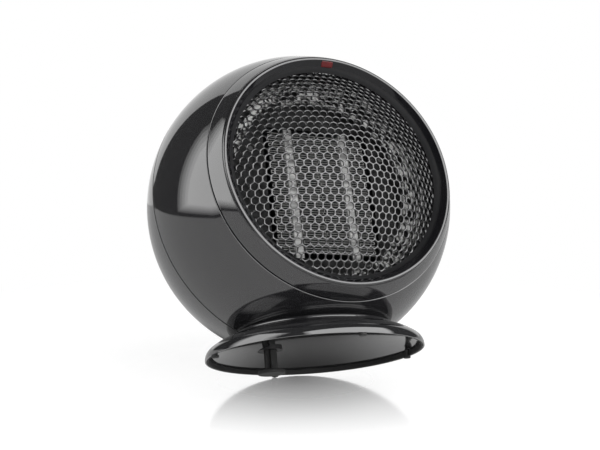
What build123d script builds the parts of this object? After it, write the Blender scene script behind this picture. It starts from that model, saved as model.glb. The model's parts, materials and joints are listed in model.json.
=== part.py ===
from build123d import *
import os
from math import asin, cos, degrees, radians, sin, sqrt

# Globe-shaped ceramic space heater, in millimetres.
# The origin is the middle of the base on the floor, the front faces -Y and +Z is up.

# Driving dimensions of the globe
GLOBE_RADIUS = 85.0
WALL = 2.5
LEAN = 3.76
CENTRE = Vector(0, 5.55, 87.07)
INNER_RADIUS = GLOBE_RADIUS - WALL

# Driving dimensions of the front, as depths along the front axis and radii around it
SHELL_EDGE_DEPTH = 47.1
BEZEL_SEAM = 0.4
SEAM_ROUND = 0.4
BEZEL_EDGE_DEPTH = 57.4
BEZEL_EDGE_RADIUS = 64.16
BEZEL_WALL = 1.9
SHELL_FLANGE_INNER = 61.2
SHELL_FLANGE_OUTER = 69.5
SHELL_FLANGE_THICKNESS = 2.2
GRILLE_RIM_RADIUS = 58.0
GRILLE_RIM_DEPTH = 51.2
GRILLE_HALF_ANGLE = 33.0
GRILLE_SHEET = 0.8
GRILLE_SQUASH = 0.5
GRILLE_FLANGE_RADIUS = 61.0
GRILLE_PITCH = 6.4
GRILLE_WEB = 1.0
GRILLE_BORDER = 2.2

# Driving dimensions of the air path
DUCT_BORE = 57.0
DUCT_WALL = 1.8
DUCT_FRONT = 50.2
DUCT_BACK = -15.9
DUCT_RIM_RADIUS = 60.8
DUCT_PLATE_FRONT = 30.5
DUCT_PLATE = 2.0
ELEMENT_LOW = -39.0
ELEMENT_HIGH = 30.0
ELEMENT_HALF_WIDTH = 28.4
ELEMENT_GAP = 3.0
ELEMENT_FRONT = 30.5
BAR_WIDTH = 5.7
BAR_CENTRE = 16.55
BAR_DEPTH = 14.0
FIN_DEPTH = 13.0
FIN_SHEET = 0.35
FIN_COUNT = 53
FRAME_RAIL = 3.3
FRAME_DEPTH = 14.4

# Driving dimensions of the fan and its motor
FAN_MIDDLE = -4.0
FAN_HUB_RADIUS = 14.0
FAN_HUB_LENGTH = 16.0
FAN_TIP_RADIUS = 52.5
FAN_BLADES = 7
BRACKET_THICKNESS = 2.5
MOTOR_RADIUS = 18.0
MOTOR_LENGTH = 31.0
MOTOR_SHAFT_RADIUS = 1.6
RUNNING_CLEARANCE = 0.05

# Driving dimensions of the back
INTAKE_RADIUS = 46.0
INTAKE_FIELD = 39.0
INTAKE_SLOT = 3.0
INTAKE_PITCH = 6.0
INTAKE_ROWS = 13
KNOB_ANGLE = 40.0
KNOB_FLAT = 83.0
KNOB_RADIUS = 13.0
KNOB_HEIGHT = 12.0
GLAND_DROP = 60.0
GLAND_RADIUS = 5.95
GLAND_BORE = 3.4

# Driving dimensions of the base
RIM_HEIGHT = 1.3
RIM_RADIUS = 58.9
NECK_HEIGHT = 14.5
DECK_HEIGHT = 12.5
DISH_HEIGHT = 10.2
LIP_INNER = 54.8
LIP_OUTER = 58.1
LIP_THICKNESS = 2.6
FOOT_CIRCLE = 56.7
FOOT_RADIUS = 2.0
PLUNGER_X = -17.0
PLUNGER_Y = 21.0
PLUNGER_TRAVEL = 5.0

# Screws
CASE_SCREW_CIRCLE = 64.4
BEZEL_SCREW_CIRCLE = 64.4
BRACKET_SCREW_CIRCLE = 61.4
SCREW_RADIUS = 1.4
SCREW_HEAD_RADIUS = 2.9
SCREW_HEAD_HEIGHT = 2.0
SCREW_CLEARANCE = 1.7

# Frame of the leaning head: local x is right, local y is up and local z is forward
FORWARD = Vector(0, -cos(radians(LEAN)), sin(radians(LEAN)))
UPWARD = Vector(0, sin(radians(LEAN)), cos(radians(LEAN)))
HEAD = Plane(origin=CENTRE, x_dir=(1, 0, 0), z_dir=FORWARD)
HEAD_AXIS = Axis(CENTRE, FORWARD)
# Half section of the head: sketch x is the radius and sketch y the depth forward
SECTION = Plane(origin=CENTRE, x_dir=(1, 0, 0), z_dir=-UPWARD)
KNOB_NORMAL = UPWARD * cos(radians(KNOB_ANGLE)) - FORWARD * sin(radians(KNOB_ANGLE))
KNOB_SEAT = Plane(origin=CENTRE + KNOB_NORMAL * KNOB_FLAT, x_dir=(1, 0, 0), z_dir=KNOB_NORMAL)

FLOOR_CUT = 200.0
ELEMENT_MIDDLE = (ELEMENT_LOW + ELEMENT_HIGH) / 2
ELEMENT_HEIGHT = ELEMENT_HIGH - ELEMENT_LOW
OPENING_WIDTH = 2 * (ELEMENT_HALF_WIDTH + ELEMENT_GAP)
OPENING_HEIGHT = ELEMENT_HEIGHT + 2 * ELEMENT_GAP
PLATE_BACK = DUCT_PLATE_FRONT - DUCT_PLATE
SHELL_FLANGE_BACK = SHELL_EDGE_DEPTH - SHELL_FLANGE_THICKNESS
DUCT_OUTER = DUCT_BORE + DUCT_WALL
BRACKET_FRONT = DUCT_BACK - 0.1
BRACKET_BACK = BRACKET_FRONT - BRACKET_THICKNESS


def polar(radius, angles):
    """Points on a circle around the front axis, angles counted from the right side."""
    return [(radius * cos(radians(a)), radius * sin(radians(a))) for a in angles]


def mirrored(points):
    """The same points as seen on a plane that faces the other way."""
    return [(-x, y) for x, y in points]


def facing_back(depth):
    """Plane across the front axis at a depth, facing backwards."""
    return Plane(origin=CENTRE + FORWARD * depth, x_dir=(-1, 0, 0), z_dir=-FORWARD)


CASE_SCREWS = polar(CASE_SCREW_CIRCLE, (45, 135, 225, 315))
BEZEL_SCREWS = polar(BEZEL_SCREW_CIRCLE, (30, 150, 270))
BRACKET_SCREWS = polar(BRACKET_SCREW_CIRCLE, (0, 90, 180, 270))
MOTOR_SCREWS = polar(11.5, (0, 180))
BASE_SCREWS = [(-24, -20), (24, -20)]
FRAME_EAR_REACH = 39.0
FRAME_EAR_SPREAD = 24.0
FRAME_SCREWS = [
    (side * FRAME_EAR_REACH, ELEMENT_MIDDLE + level * FRAME_EAR_SPREAD)
    for side in (-1, 1)
    for level in (-1, 1)
]


def discs(seat, centres, radius, height, mode=Mode.ADD):
    """Round pins or holes standing on a seat plane at the given points."""
    with BuildSketch(seat) as outline:
        with Locations(*centres):
            Circle(radius)
    extrude(outline.sketch, amount=height, mode=mode)


def pan_screws(seat, centres, length):
    """Pan-head screws: heads above the seat plane, shanks below it."""
    discs(seat, centres, SCREW_HEAD_RADIUS, SCREW_HEAD_HEIGHT)
    discs(seat, centres, SCREW_RADIUS, -length)


def globe_zone(outer, inner, low, high):
    """Sketch of the band between two spheres, cut off between two depths."""
    Circle(outer)
    Circle(inner, mode=Mode.SUBTRACT)
    with Locations((outer / 2, (low + high) / 2)):
        Rectangle(outer, high - low, mode=Mode.INTERSECT)


def cut_below(height):
    """Remove everything under a level height."""
    with Locations((0, 0, height - FLOOR_CUT / 2)):
        Box(2 * FLOOR_CUT, 2 * FLOOR_CUT, FLOOR_CUT, mode=Mode.SUBTRACT)


os.makedirs("parts", exist_ok=True)

# Front half of the globe, with the flange that the bezel and the duct clamp
FLOOR_PLATE_RADIUS = 39.5
FLOOR_PLATE_HOLE = 26.0
FLOOR_PLATE = 2.4
CASE_POST_RADIUS = 4.0
PILOT_RADIUS = SCREW_RADIUS + 0.05
with BuildPart() as front_shell:
    with BuildSketch(SECTION) as front_zone:
        globe_zone(GLOBE_RADIUS, INNER_RADIUS, 0, SHELL_EDGE_DEPTH)
        fillet(front_zone.vertices().sort_by(Axis.X)[-1], radius=SEAM_ROUND)
        fillet(front_zone.vertices().group_by(Axis.Y)[-1].sort_by(Axis.X)[-1], radius=SEAM_ROUND)
    revolve(axis=HEAD_AXIS)
    with BuildSketch(HEAD.offset(SHELL_EDGE_DEPTH)):
        Circle(SHELL_FLANGE_OUTER)
        Circle(SHELL_FLANGE_INNER, mode=Mode.SUBTRACT)
    extrude(amount=-SHELL_FLANGE_THICKNESS)
    discs(HEAD, CASE_SCREWS, CASE_POST_RADIUS, SHELL_FLANGE_BACK + 0.5)
    discs(HEAD, CASE_SCREWS, PILOT_RADIUS, 14, mode=Mode.SUBTRACT)
    discs(HEAD.offset(SHELL_EDGE_DEPTH), BEZEL_SCREWS, SCREW_CLEARANCE, -5, mode=Mode.SUBTRACT)
    cut_below(DECK_HEIGHT)
    with BuildSketch(Plane.XY.offset(DECK_HEIGHT)):
        with Locations((0, CENTRE.Y)):
            Circle(FLOOR_PLATE_RADIUS)
            Circle(FLOOR_PLATE_HOLE, mode=Mode.SUBTRACT)
        with Locations((0, FLOOR_CUT / 2)):
            Rectangle(FLOOR_CUT, FLOOR_CUT, mode=Mode.SUBTRACT)
    extrude(amount=FLOOR_PLATE)
    discs(Plane.XY.offset(DECK_HEIGHT), BASE_SCREWS, SCREW_CLEARANCE, 2 * FLOOR_PLATE, mode=Mode.SUBTRACT)
front_shell.part.label = "front_shell"
export_step(front_shell.part, "parts/front_shell.step")

# Rear half of the globe: screw tunnels, the round intake, the knob flat and the gland hole
TUNNEL_RADIUS = 5.2
TUNNEL_BORE = 3.4
TUNNEL_FLOOR = 8.0
KNOB_PAD_RADIUS = 17.8
KNOB_PAD = 3.5
BUSHING_RADIUS = 4.0
with BuildPart() as rear_shell:
    discs(HEAD, CASE_SCREWS, TUNNEL_RADIUS, -GLOBE_RADIUS)
    with Locations(CENTRE):
        Sphere(GLOBE_RADIUS, mode=Mode.INTERSECT)
    with BuildSketch(SECTION) as rear_zone:
        globe_zone(GLOBE_RADIUS, INNER_RADIUS, -GLOBE_RADIUS, 0)
        fillet(rear_zone.vertices().sort_by(Axis.X)[-1], radius=SEAM_ROUND)
    revolve(axis=HEAD_AXIS)
    discs(HEAD.offset(-TUNNEL_FLOOR), CASE_SCREWS, TUNNEL_BORE, -GLOBE_RADIUS, mode=Mode.SUBTRACT)
    discs(HEAD, CASE_SCREWS, SCREW_CLEARANCE, -GLOBE_RADIUS, mode=Mode.SUBTRACT)
    discs(HEAD.offset(-GLOBE_RADIUS), [(0, 0)], INTAKE_RADIUS, 30, mode=Mode.SUBTRACT)
    discs(KNOB_SEAT, [(0, 0)], KNOB_PAD_RADIUS, -KNOB_PAD)
    discs(KNOB_SEAT, [(0, 0)], KNOB_PAD_RADIUS + 3, 5, mode=Mode.SUBTRACT)
    discs(KNOB_SEAT, [(0, 0)], BUSHING_RADIUS + 0.2, -2 * KNOB_PAD, mode=Mode.SUBTRACT)
    discs(HEAD.offset(-40), [(0, -GLAND_DROP)], GLAND_RADIUS + 0.05, -40, mode=Mode.SUBTRACT)
    cut_below(DECK_HEIGHT)
rear_shell.part.label = "rear_shell"
export_step(rear_shell.part, "parts/rear_shell.step")

# Slotted air intake set into the back, with a lap ring behind the shell's edge
INTAKE_GAP = 0.3
LAP_INNER = 41.5
LAP_OUTER = 49.5
LAP_TOP = INNER_RADIUS - 0.1
LAP_BACK = LAP_TOP - 2.0
INTAKE_RIB = 4.0
with BuildPart() as rear_grille:
    with BuildSketch(SECTION):
        globe_zone(GLOBE_RADIUS, INNER_RADIUS - 0.3, -GLOBE_RADIUS, -60)
        with Locations(((INTAKE_RADIUS - INTAKE_GAP) / 2, -GLOBE_RADIUS)):
            Rectangle(INTAKE_RADIUS - INTAKE_GAP, GLOBE_RADIUS, mode=Mode.INTERSECT)
    revolve(axis=HEAD_AXIS)
    with BuildSketch(SECTION):
        globe_zone(LAP_TOP, LAP_BACK, -GLOBE_RADIUS, -55)
        with Locations(((LAP_INNER + LAP_OUTER) / 2, -GLOBE_RADIUS)):
            Rectangle(LAP_OUTER - LAP_INNER, GLOBE_RADIUS, mode=Mode.INTERSECT)
    revolve(axis=HEAD_AXIS)
    with BuildSketch(HEAD.offset(-GLOBE_RADIUS)):
        with GridLocations(0, INTAKE_PITCH, 1, INTAKE_ROWS):
            Rectangle(2 * INTAKE_FIELD, INTAKE_SLOT)
        Circle(INTAKE_FIELD, mode=Mode.INTERSECT)
        Rectangle(INTAKE_RIB, 2 * INTAKE_FIELD, mode=Mode.SUBTRACT)
    extrude(amount=30, mode=Mode.SUBTRACT)
rear_grille.part.label = "rear_grille"
export_step(rear_grille.part, "parts/rear_grille.step")

# Bezel ring: rounded band outside, sharp lit edge, sloping wall down to the grille
BEZEL_REAR = SHELL_EDGE_DEPTH + BEZEL_SEAM
BEZEL_REAR_RADIUS = sqrt(GLOBE_RADIUS**2 - BEZEL_REAR**2)
BEZEL_FOOT_DEPTH = GRILLE_RIM_DEPTH + 0.2
BEZEL_FOOT_RADIUS = 58.15
BEZEL_FOOT_WIDTH = 2.15
BEZEL_CROWN = 0.9
BEZEL_BOSS_RADIUS = 2.6
BEZEL_BOSS_TOP = 53.2
LENS_WIDTH = 6.6
LENS_HEIGHT = 3.0
LENS_RISE = 4.9
BEZEL_EDGE_ROUND = 0.7
wall_length = sqrt((BEZEL_EDGE_RADIUS - BEZEL_FOOT_RADIUS) ** 2 + (BEZEL_EDGE_DEPTH - BEZEL_FOOT_DEPTH) ** 2)
wall_inward = (BEZEL_EDGE_DEPTH - BEZEL_FOOT_DEPTH) / wall_length
wall_forward = (BEZEL_EDGE_RADIUS - BEZEL_FOOT_RADIUS) / wall_length
LENS_RADIUS = BEZEL_FOOT_RADIUS + LENS_RISE * wall_forward
LENS_DEPTH = BEZEL_FOOT_DEPTH + LENS_RISE * wall_inward
LENS_SEAT = Plane(
    origin=CENTRE + UPWARD * LENS_RADIUS + FORWARD * LENS_DEPTH,
    x_dir=(1, 0, 0),
    z_dir=FORWARD * wall_forward - UPWARD * wall_inward,
)
with BuildPart() as front_bezel:
    with BuildSketch(SECTION) as band:
        with BuildLine():
            rear = (BEZEL_REAR_RADIUS, BEZEL_REAR)
            edge = (BEZEL_EDGE_RADIUS, BEZEL_EDGE_DEPTH)
            middle = ((rear[0] + edge[0]) / 2, (rear[1] + edge[1]) / 2)
            swell = (GLOBE_RADIUS + BEZEL_CROWN) / sqrt(middle[0] ** 2 + middle[1] ** 2)
            ThreePointArc(rear, (middle[0] * swell, middle[1] * swell), edge)
            Polyline(
                edge,
                (BEZEL_FOOT_RADIUS, BEZEL_FOOT_DEPTH),
                (BEZEL_FOOT_RADIUS + BEZEL_FOOT_WIDTH, BEZEL_FOOT_DEPTH),
                (BEZEL_EDGE_RADIUS + 0.15, BEZEL_EDGE_DEPTH - 1.2 * BEZEL_WALL),
                (BEZEL_REAR_RADIUS - BEZEL_WALL - 0.3, SHELL_EDGE_DEPTH + BEZEL_WALL),
                (BEZEL_REAR_RADIUS - BEZEL_WALL - 0.3, SHELL_EDGE_DEPTH),
                (BEZEL_REAR_RADIUS - 0.8, SHELL_EDGE_DEPTH),
                (BEZEL_REAR_RADIUS - 0.8, BEZEL_REAR),
                rear,
            )
        make_face()
        fillet(band.vertices().sort_by(Axis.Y)[-1], radius=BEZEL_EDGE_ROUND)
    revolve(axis=HEAD_AXIS)
    discs(HEAD.offset(SHELL_EDGE_DEPTH), BEZEL_SCREWS, BEZEL_BOSS_RADIUS, BEZEL_BOSS_TOP - SHELL_EDGE_DEPTH)
    discs(HEAD.offset(SHELL_EDGE_DEPTH), BEZEL_SCREWS, PILOT_RADIUS, 5, mode=Mode.SUBTRACT)
    with BuildSketch(LENS_SEAT):
        RectangleRounded(LENS_WIDTH + 0.2, LENS_HEIGHT + 0.2, 0.6)
    extrude(amount=4, both=True, mode=Mode.SUBTRACT)
front_bezel.part.label = "front_bezel"
export_step(front_bezel.part, "parts/front_bezel.step")

# Red lens of the power light, flush in the sloping wall at the top
with BuildPart() as indicator_lens:
    with BuildSketch(LENS_SEAT.offset(-2.6)):
        RectangleRounded(LENS_WIDTH, LENS_HEIGHT, 0.5)
    extrude(amount=2.8)
    fillet(indicator_lens.faces().sort_by(Axis(LENS_SEAT.origin, LENS_SEAT.z_dir))[-1].edges(), radius=0.35)
indicator_lens.part.label = "indicator_lens"
export_step(indicator_lens.part, "parts/indicator_lens.step")

# Small lamp behind the lens
with BuildPart() as indicator_lamp:
    discs(LENS_SEAT.offset(-2.7), [(0, 0)], 1.2, -1.8)
indicator_lamp.part.label = "indicator_lamp"
export_step(indicator_lamp.part, "parts/indicator_lamp.step")

# Domed front grille: one pressed sheet with hexagonal holes and a flat clamped rim
GRILLE_CURVE = GRILLE_RIM_RADIUS / sin(radians(GRILLE_HALF_ANGLE))
GRILLE_PIVOT = GRILLE_RIM_DEPTH - GRILLE_CURVE * cos(radians(GRILLE_HALF_ANGLE))
GRILLE_ROW = GRILLE_PITCH * sqrt(3) / 2
GRILLE_SPAN = int(GRILLE_RIM_RADIUS / GRILLE_ROW) + 1
GRILLE_HOLES = [
    ((column + row % 2 / 2) * GRILLE_PITCH, row * GRILLE_ROW)
    for row in range(-GRILLE_SPAN, GRILLE_SPAN + 1)
    for column in range(-GRILLE_SPAN, GRILLE_SPAN + 1)
    if Vector((column + row % 2 / 2) * GRILLE_PITCH, row * GRILLE_ROW).length
    < GRILLE_RIM_RADIUS - GRILLE_BORDER - GRILLE_PITCH / 2
]
with BuildPart() as front_grille:
    with BuildSketch(SECTION):
        with Locations((0, GRILLE_PIVOT + GRILLE_SQUASH)):
            Ellipse(GRILLE_CURVE, GRILLE_CURVE - GRILLE_SQUASH)
            Ellipse(
                GRILLE_CURVE - GRILLE_SHEET,
                GRILLE_CURVE - GRILLE_SQUASH - GRILLE_SHEET,
                mode=Mode.SUBTRACT,
            )
        with Locations((GRILLE_RIM_RADIUS / 2, GRILLE_RIM_DEPTH)):
            Rectangle(GRILLE_RIM_RADIUS, GRILLE_RIM_RADIUS, mode=Mode.INTERSECT)
    revolve(axis=HEAD_AXIS)
    with BuildSketch(HEAD.offset(GRILLE_RIM_DEPTH)):
        Circle(GRILLE_FLANGE_RADIUS)
        Circle(GRILLE_RIM_RADIUS - 0.8, mode=Mode.SUBTRACT)
    extrude(amount=-GRILLE_SHEET)
    with BuildSketch(HEAD.offset(GRILLE_RIM_DEPTH)):
        with Locations(*GRILLE_HOLES):
            RegularPolygon((GRILLE_PITCH - GRILLE_WEB) / 2, 6, major_radius=False, rotation=30)
    extrude(amount=40, mode=Mode.SUBTRACT)
front_grille.part.label = "front_grille"
export_step(front_grille.part, "parts/front_grille.step")

# Air duct: tube from the grille back to the fan, with a plate around the heating element
TAB_LENGTH = 11.0
TAB_WIDTH = 9.0
TAB_THICKNESS = 2.0
DUCT_BOSS_RADIUS = 3.6
DUCT_BOSS_LENGTH = 14.0
with BuildPart() as air_duct:
    with BuildSketch(HEAD.offset(DUCT_BACK)):
        Circle(DUCT_OUTER)
    extrude(amount=DUCT_FRONT - DUCT_BACK)
    with BuildSketch(HEAD.offset(DUCT_FRONT)):
        Circle(DUCT_RIM_RADIUS)
    extrude(amount=-TAB_THICKNESS)
    with BuildSketch(HEAD.offset(SHELL_FLANGE_BACK)):
        for angle in (30, 150, 270):
            with Locations(*polar(DUCT_OUTER + TAB_LENGTH / 2 - 1, (angle,))):
                Rectangle(TAB_LENGTH, TAB_WIDTH, rotation=angle)
    extrude(amount=-TAB_THICKNESS)
    discs(HEAD.offset(DUCT_BACK), BRACKET_SCREWS, DUCT_BOSS_RADIUS, DUCT_BOSS_LENGTH)
    discs(HEAD.offset(DUCT_PLATE_FRONT), [(0, 0)], DUCT_BORE, FLOOR_CUT, mode=Mode.SUBTRACT)
    discs(HEAD.offset(PLATE_BACK), [(0, 0)], DUCT_BORE, -FLOOR_CUT, mode=Mode.SUBTRACT)
    discs(HEAD.offset(SHELL_FLANGE_BACK), BEZEL_SCREWS, SCREW_CLEARANCE, -4, mode=Mode.SUBTRACT)
    discs(HEAD.offset(DUCT_BACK), BRACKET_SCREWS, PILOT_RADIUS, 10, mode=Mode.SUBTRACT)
    discs(HEAD.offset(PLATE_BACK), FRAME_SCREWS, PILOT_RADIUS, 4, mode=Mode.SUBTRACT)
    with BuildSketch(HEAD.offset(DUCT_PLATE_FRONT)):
        with Locations((0, ELEMENT_MIDDLE)):
            RectangleRounded(OPENING_WIDTH, OPENING_HEIGHT, 4)
    extrude(amount=-2 * DUCT_PLATE, mode=Mode.SUBTRACT)
air_duct.part.label = "air_duct"
export_step(air_duct.part, "parts/air_duct.step")

# Heat-proof frame that holds the ends of the heating bars behind the duct plate
FRAME_FRONT = PLATE_BACK - 0.1
BAR_SEAT = 2.4
EAR_THICKNESS = 3.0
EAR_WIDTH = 9.0
TERMINAL_WIDTH = 4.0
TERMINAL_SHEET = 0.8
BAR_BACK = ELEMENT_FRONT - BAR_DEPTH
TERMINALS = [
    (side * BAR_CENTRE + shift, ELEMENT_LOW - ELEMENT_GAP - BAR_SEAT / 2 + 0.2)
    for side in (-1, 1)
    for shift in (-1.6, 1.6)
]
with BuildPart() as element_frame:
    with BuildSketch(HEAD.offset(FRAME_FRONT)):
        with Locations((0, ELEMENT_MIDDLE)):
            RectangleRounded(OPENING_WIDTH + 2 * FRAME_RAIL, OPENING_HEIGHT + 2 * FRAME_RAIL, 7)
            RectangleRounded(OPENING_WIDTH, OPENING_HEIGHT, 3, mode=Mode.SUBTRACT)
    extrude(amount=-FRAME_DEPTH)
    with BuildSketch(HEAD.offset(FRAME_FRONT)):
        with Locations(*FRAME_SCREWS):
            Rectangle(EAR_WIDTH, EAR_WIDTH)
        with Locations((0, ELEMENT_MIDDLE)):
            Rectangle(OPENING_WIDTH + 2, OPENING_HEIGHT, mode=Mode.SUBTRACT)
    extrude(amount=-EAR_THICKNESS)
    with BuildSketch(HEAD.offset(BAR_BACK - 0.1)):
        with Locations((0, ELEMENT_MIDDLE)):
            with GridLocations(2 * BAR_CENTRE, OPENING_HEIGHT, 2, 2):
                Rectangle(BAR_WIDTH + 0.2, 2 * BAR_SEAT + 0.2)
    extrude(amount=BAR_DEPTH, mode=Mode.SUBTRACT)
    with BuildSketch(HEAD.offset(BAR_BACK)):
        with Locations(*TERMINALS):
            Rectangle(TERMINAL_SHEET + 0.4, 2.0)
    extrude(amount=-FRAME_DEPTH, mode=Mode.SUBTRACT)
    discs(HEAD.offset(FRAME_FRONT), FRAME_SCREWS, SCREW_CLEARANCE, -5, mode=Mode.SUBTRACT)
element_frame.part.label = "element_frame"
export_step(element_frame.part, "parts/element_frame.step")


def heating_bar(side):
    """Flat aluminium tube that holds the ceramic stones, with a tenon in each rail."""
    with BuildPart() as bar:
        with BuildSketch(HEAD.offset(ELEMENT_FRONT)):
            with Locations((side * BAR_CENTRE, ELEMENT_MIDDLE)):
                Rectangle(BAR_WIDTH, OPENING_HEIGHT - 0.4)
        extrude(amount=-BAR_DEPTH)
        long_edges = bar.edges().filter_by(Axis(CENTRE, UPWARD))
        fillet(long_edges, radius=1.0)
        with BuildSketch(HEAD.offset(BAR_BACK)):
            with Locations((side * BAR_CENTRE, ELEMENT_MIDDLE)):
                Rectangle(BAR_WIDTH - 0.4, OPENING_HEIGHT + 2 * BAR_SEAT)
        extrude(amount=FRAME_FRONT - 0.1 - BAR_BACK)
    return bar.part


for bar_name, bar_side in (("ptc_bar_left", -1), ("ptc_bar_right", 1)):
    bar_part = heating_bar(bar_side)
    bar_part.label = bar_name
    export_step(bar_part, f"parts/{bar_name}.step")


def fin_pack(left, right):
    """Serpentine fin strip: level fins joined at alternate ends."""
    pitch = (ELEMENT_HEIGHT - FIN_SHEET) / (FIN_COUNT - 1)
    first = ELEMENT_LOW + FIN_SHEET / 2
    ends = (left + FIN_SHEET / 2, right - FIN_SHEET / 2)
    with BuildPart() as pack:
        with BuildSketch(HEAD.offset(ELEMENT_FRONT)):
            with Locations(*[((left + right) / 2, first + n * pitch) for n in range(FIN_COUNT)]):
                Rectangle(right - left, FIN_SHEET)
            with Locations(*[(ends[n % 2], first + (n + 0.5) * pitch) for n in range(FIN_COUNT - 1)]):
                Rectangle(FIN_SHEET, pitch)
        extrude(amount=-FIN_DEPTH)
    return pack.part


BAR_INSIDE = BAR_CENTRE - BAR_WIDTH / 2
BAR_OUTSIDE = BAR_CENTRE + BAR_WIDTH / 2
MIDDLE_GAP = 0.2
for pack_name, pack_left, pack_right in (
    ("fins_outer_left", -ELEMENT_HALF_WIDTH, -BAR_OUTSIDE),
    ("fins_inner_left", -BAR_INSIDE, -MIDDLE_GAP),
    ("fins_inner_right", MIDDLE_GAP, BAR_INSIDE),
    ("fins_outer_right", BAR_OUTSIDE, ELEMENT_HALF_WIDTH),
):
    pack_part = fin_pack(pack_left, pack_right)
    pack_part.label = pack_name
    export_step(pack_part, f"parts/{pack_name}.step")

# Spade terminals at the lower ends of the bars
with BuildPart() as ptc_terminals:
    with BuildSketch(HEAD.offset(BAR_BACK)):
        with Locations(*TERMINALS):
            Rectangle(TERMINAL_SHEET, 1.6)
    extrude(amount=-8.5)
ptc_terminals.part.label = "ptc_terminals"
export_step(ptc_terminals.part, "parts/ptc_terminals.step")

# Snap-action overheat cut-out on the back of the duct plate
CUTOUT_X = 46.5
with BuildPart() as thermal_cutout:
    discs(HEAD.offset(FRAME_FRONT), [(CUTOUT_X, ELEMENT_MIDDLE)], 7.4, -4.5)
    discs(HEAD.offset(FRAME_FRONT - 4.5), [(CUTOUT_X, ELEMENT_MIDDLE)], 6.2, -3.5)
    with BuildSketch(HEAD.offset(FRAME_FRONT - 8)):
        with Locations((CUTOUT_X, ELEMENT_MIDDLE)):
            with GridLocations(0, 7, 1, 2):
                Rectangle(4.6, 0.8)
    extrude(amount=-7)
thermal_cutout.part.label = "thermal_cutout"
export_step(thermal_cutout.part, "parts/thermal_cutout.step")

# One-shot thermal fuse in its clip on the other side
FUSE_RADIUS = 2.0
FUSE_LENGTH = 16.0
FUSE_END = Plane(
    origin=HEAD.from_local_coords(Vector(-CUTOUT_X, ELEMENT_MIDDLE - FUSE_LENGTH / 2, FRAME_FRONT - 3.6)),
    x_dir=(1, 0, 0),
    z_dir=UPWARD,
)
with BuildPart() as thermal_fuse:
    with BuildSketch(HEAD.offset(FRAME_FRONT)):
        with Locations((-CUTOUT_X, ELEMENT_MIDDLE)):
            RectangleRounded(7, 12, 1)
    extrude(amount=-2)
    with BuildSketch(FUSE_END):
        Circle(FUSE_RADIUS)
    extrude(amount=FUSE_LENGTH)
thermal_fuse.part.label = "thermal_fuse"
export_step(thermal_fuse.part, "parts/thermal_fuse.step")

# Spider that carries the motor on the back end of the duct
SPIDER_INNER = 52.5
SPIDER_SEAT = 20.0
SPIDER_ARM = 9.0
MOTOR_BOSS_RADIUS = 6.0
with BuildPart() as motor_bracket:
    with BuildSketch(HEAD.offset(BRACKET_FRONT)):
        Circle(DUCT_OUTER)
        Circle(SPIDER_INNER, mode=Mode.SUBTRACT)
        Rectangle(2 * SPIDER_INNER + 6, SPIDER_ARM)
        Rectangle(SPIDER_ARM, 2 * SPIDER_INNER + 6)
        Circle(SPIDER_SEAT)
        with Locations(*BRACKET_SCREWS):
            Circle(DUCT_BOSS_RADIUS + 0.8)
    extrude(amount=-BRACKET_THICKNESS)
    discs(HEAD.offset(BRACKET_FRONT), BRACKET_SCREWS, SCREW_CLEARANCE, -5, mode=Mode.SUBTRACT)
    discs(HEAD.offset(BRACKET_FRONT), MOTOR_SCREWS, SCREW_CLEARANCE, -5, mode=Mode.SUBTRACT)
    discs(HEAD.offset(BRACKET_FRONT), [(0, 0)], MOTOR_BOSS_RADIUS + 0.1, -5, mode=Mode.SUBTRACT)
motor_bracket.part.label = "motor_bracket"
export_step(motor_bracket.part, "parts/motor_bracket.step")

# Fan motor: rolled can, front boss through the spider, end cap and two terminals
MOTOR_FRONT = BRACKET_BACK - 0.1
SHAFT_IN_MOTOR = 20.0
with BuildPart() as fan_motor:
    discs(HEAD.offset(MOTOR_FRONT), [(0, 0)], MOTOR_RADIUS, -MOTOR_LENGTH)
    fillet(fan_motor.edges().filter_by(GeomType.CIRCLE), radius=1.5)
    discs(HEAD.offset(MOTOR_FRONT), [(0, 0)], MOTOR_BOSS_RADIUS, BRACKET_THICKNESS)
    discs(HEAD.offset(MOTOR_FRONT - MOTOR_LENGTH), [(0, 0)], 7, -3)
    with BuildSketch(HEAD.offset(MOTOR_FRONT - MOTOR_LENGTH)):
        with GridLocations(20, 0, 2, 1):
            Rectangle(0.8, 4.6)
    extrude(amount=-6)
    discs(HEAD.offset(MOTOR_FRONT), MOTOR_SCREWS, PILOT_RADIUS, -5, mode=Mode.SUBTRACT)
    discs(
        HEAD.offset(MOTOR_FRONT - SHAFT_IN_MOTOR),
        [(0, 0)],
        MOTOR_SHAFT_RADIUS + RUNNING_CLEARANCE,
        FLOOR_CUT,
        mode=Mode.SUBTRACT,
    )
fan_motor.part.label = "fan_motor"
export_step(fan_motor.part, "parts/fan_motor.step")

# Motor shaft, pressed into the fan hub
SHAFT_FRONT = FAN_MIDDLE + FAN_HUB_LENGTH / 2 - 3
SHAFT_BACK = MOTOR_FRONT - SHAFT_IN_MOTOR + 0.3
with BuildPart() as motor_shaft:
    discs(HEAD.offset(SHAFT_BACK), [(0, 0)], MOTOR_SHAFT_RADIUS, SHAFT_FRONT - SHAFT_BACK)
motor_shaft.part.label = "motor_shaft"
export_step(motor_shaft.part, "parts/motor_shaft.step")

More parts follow.
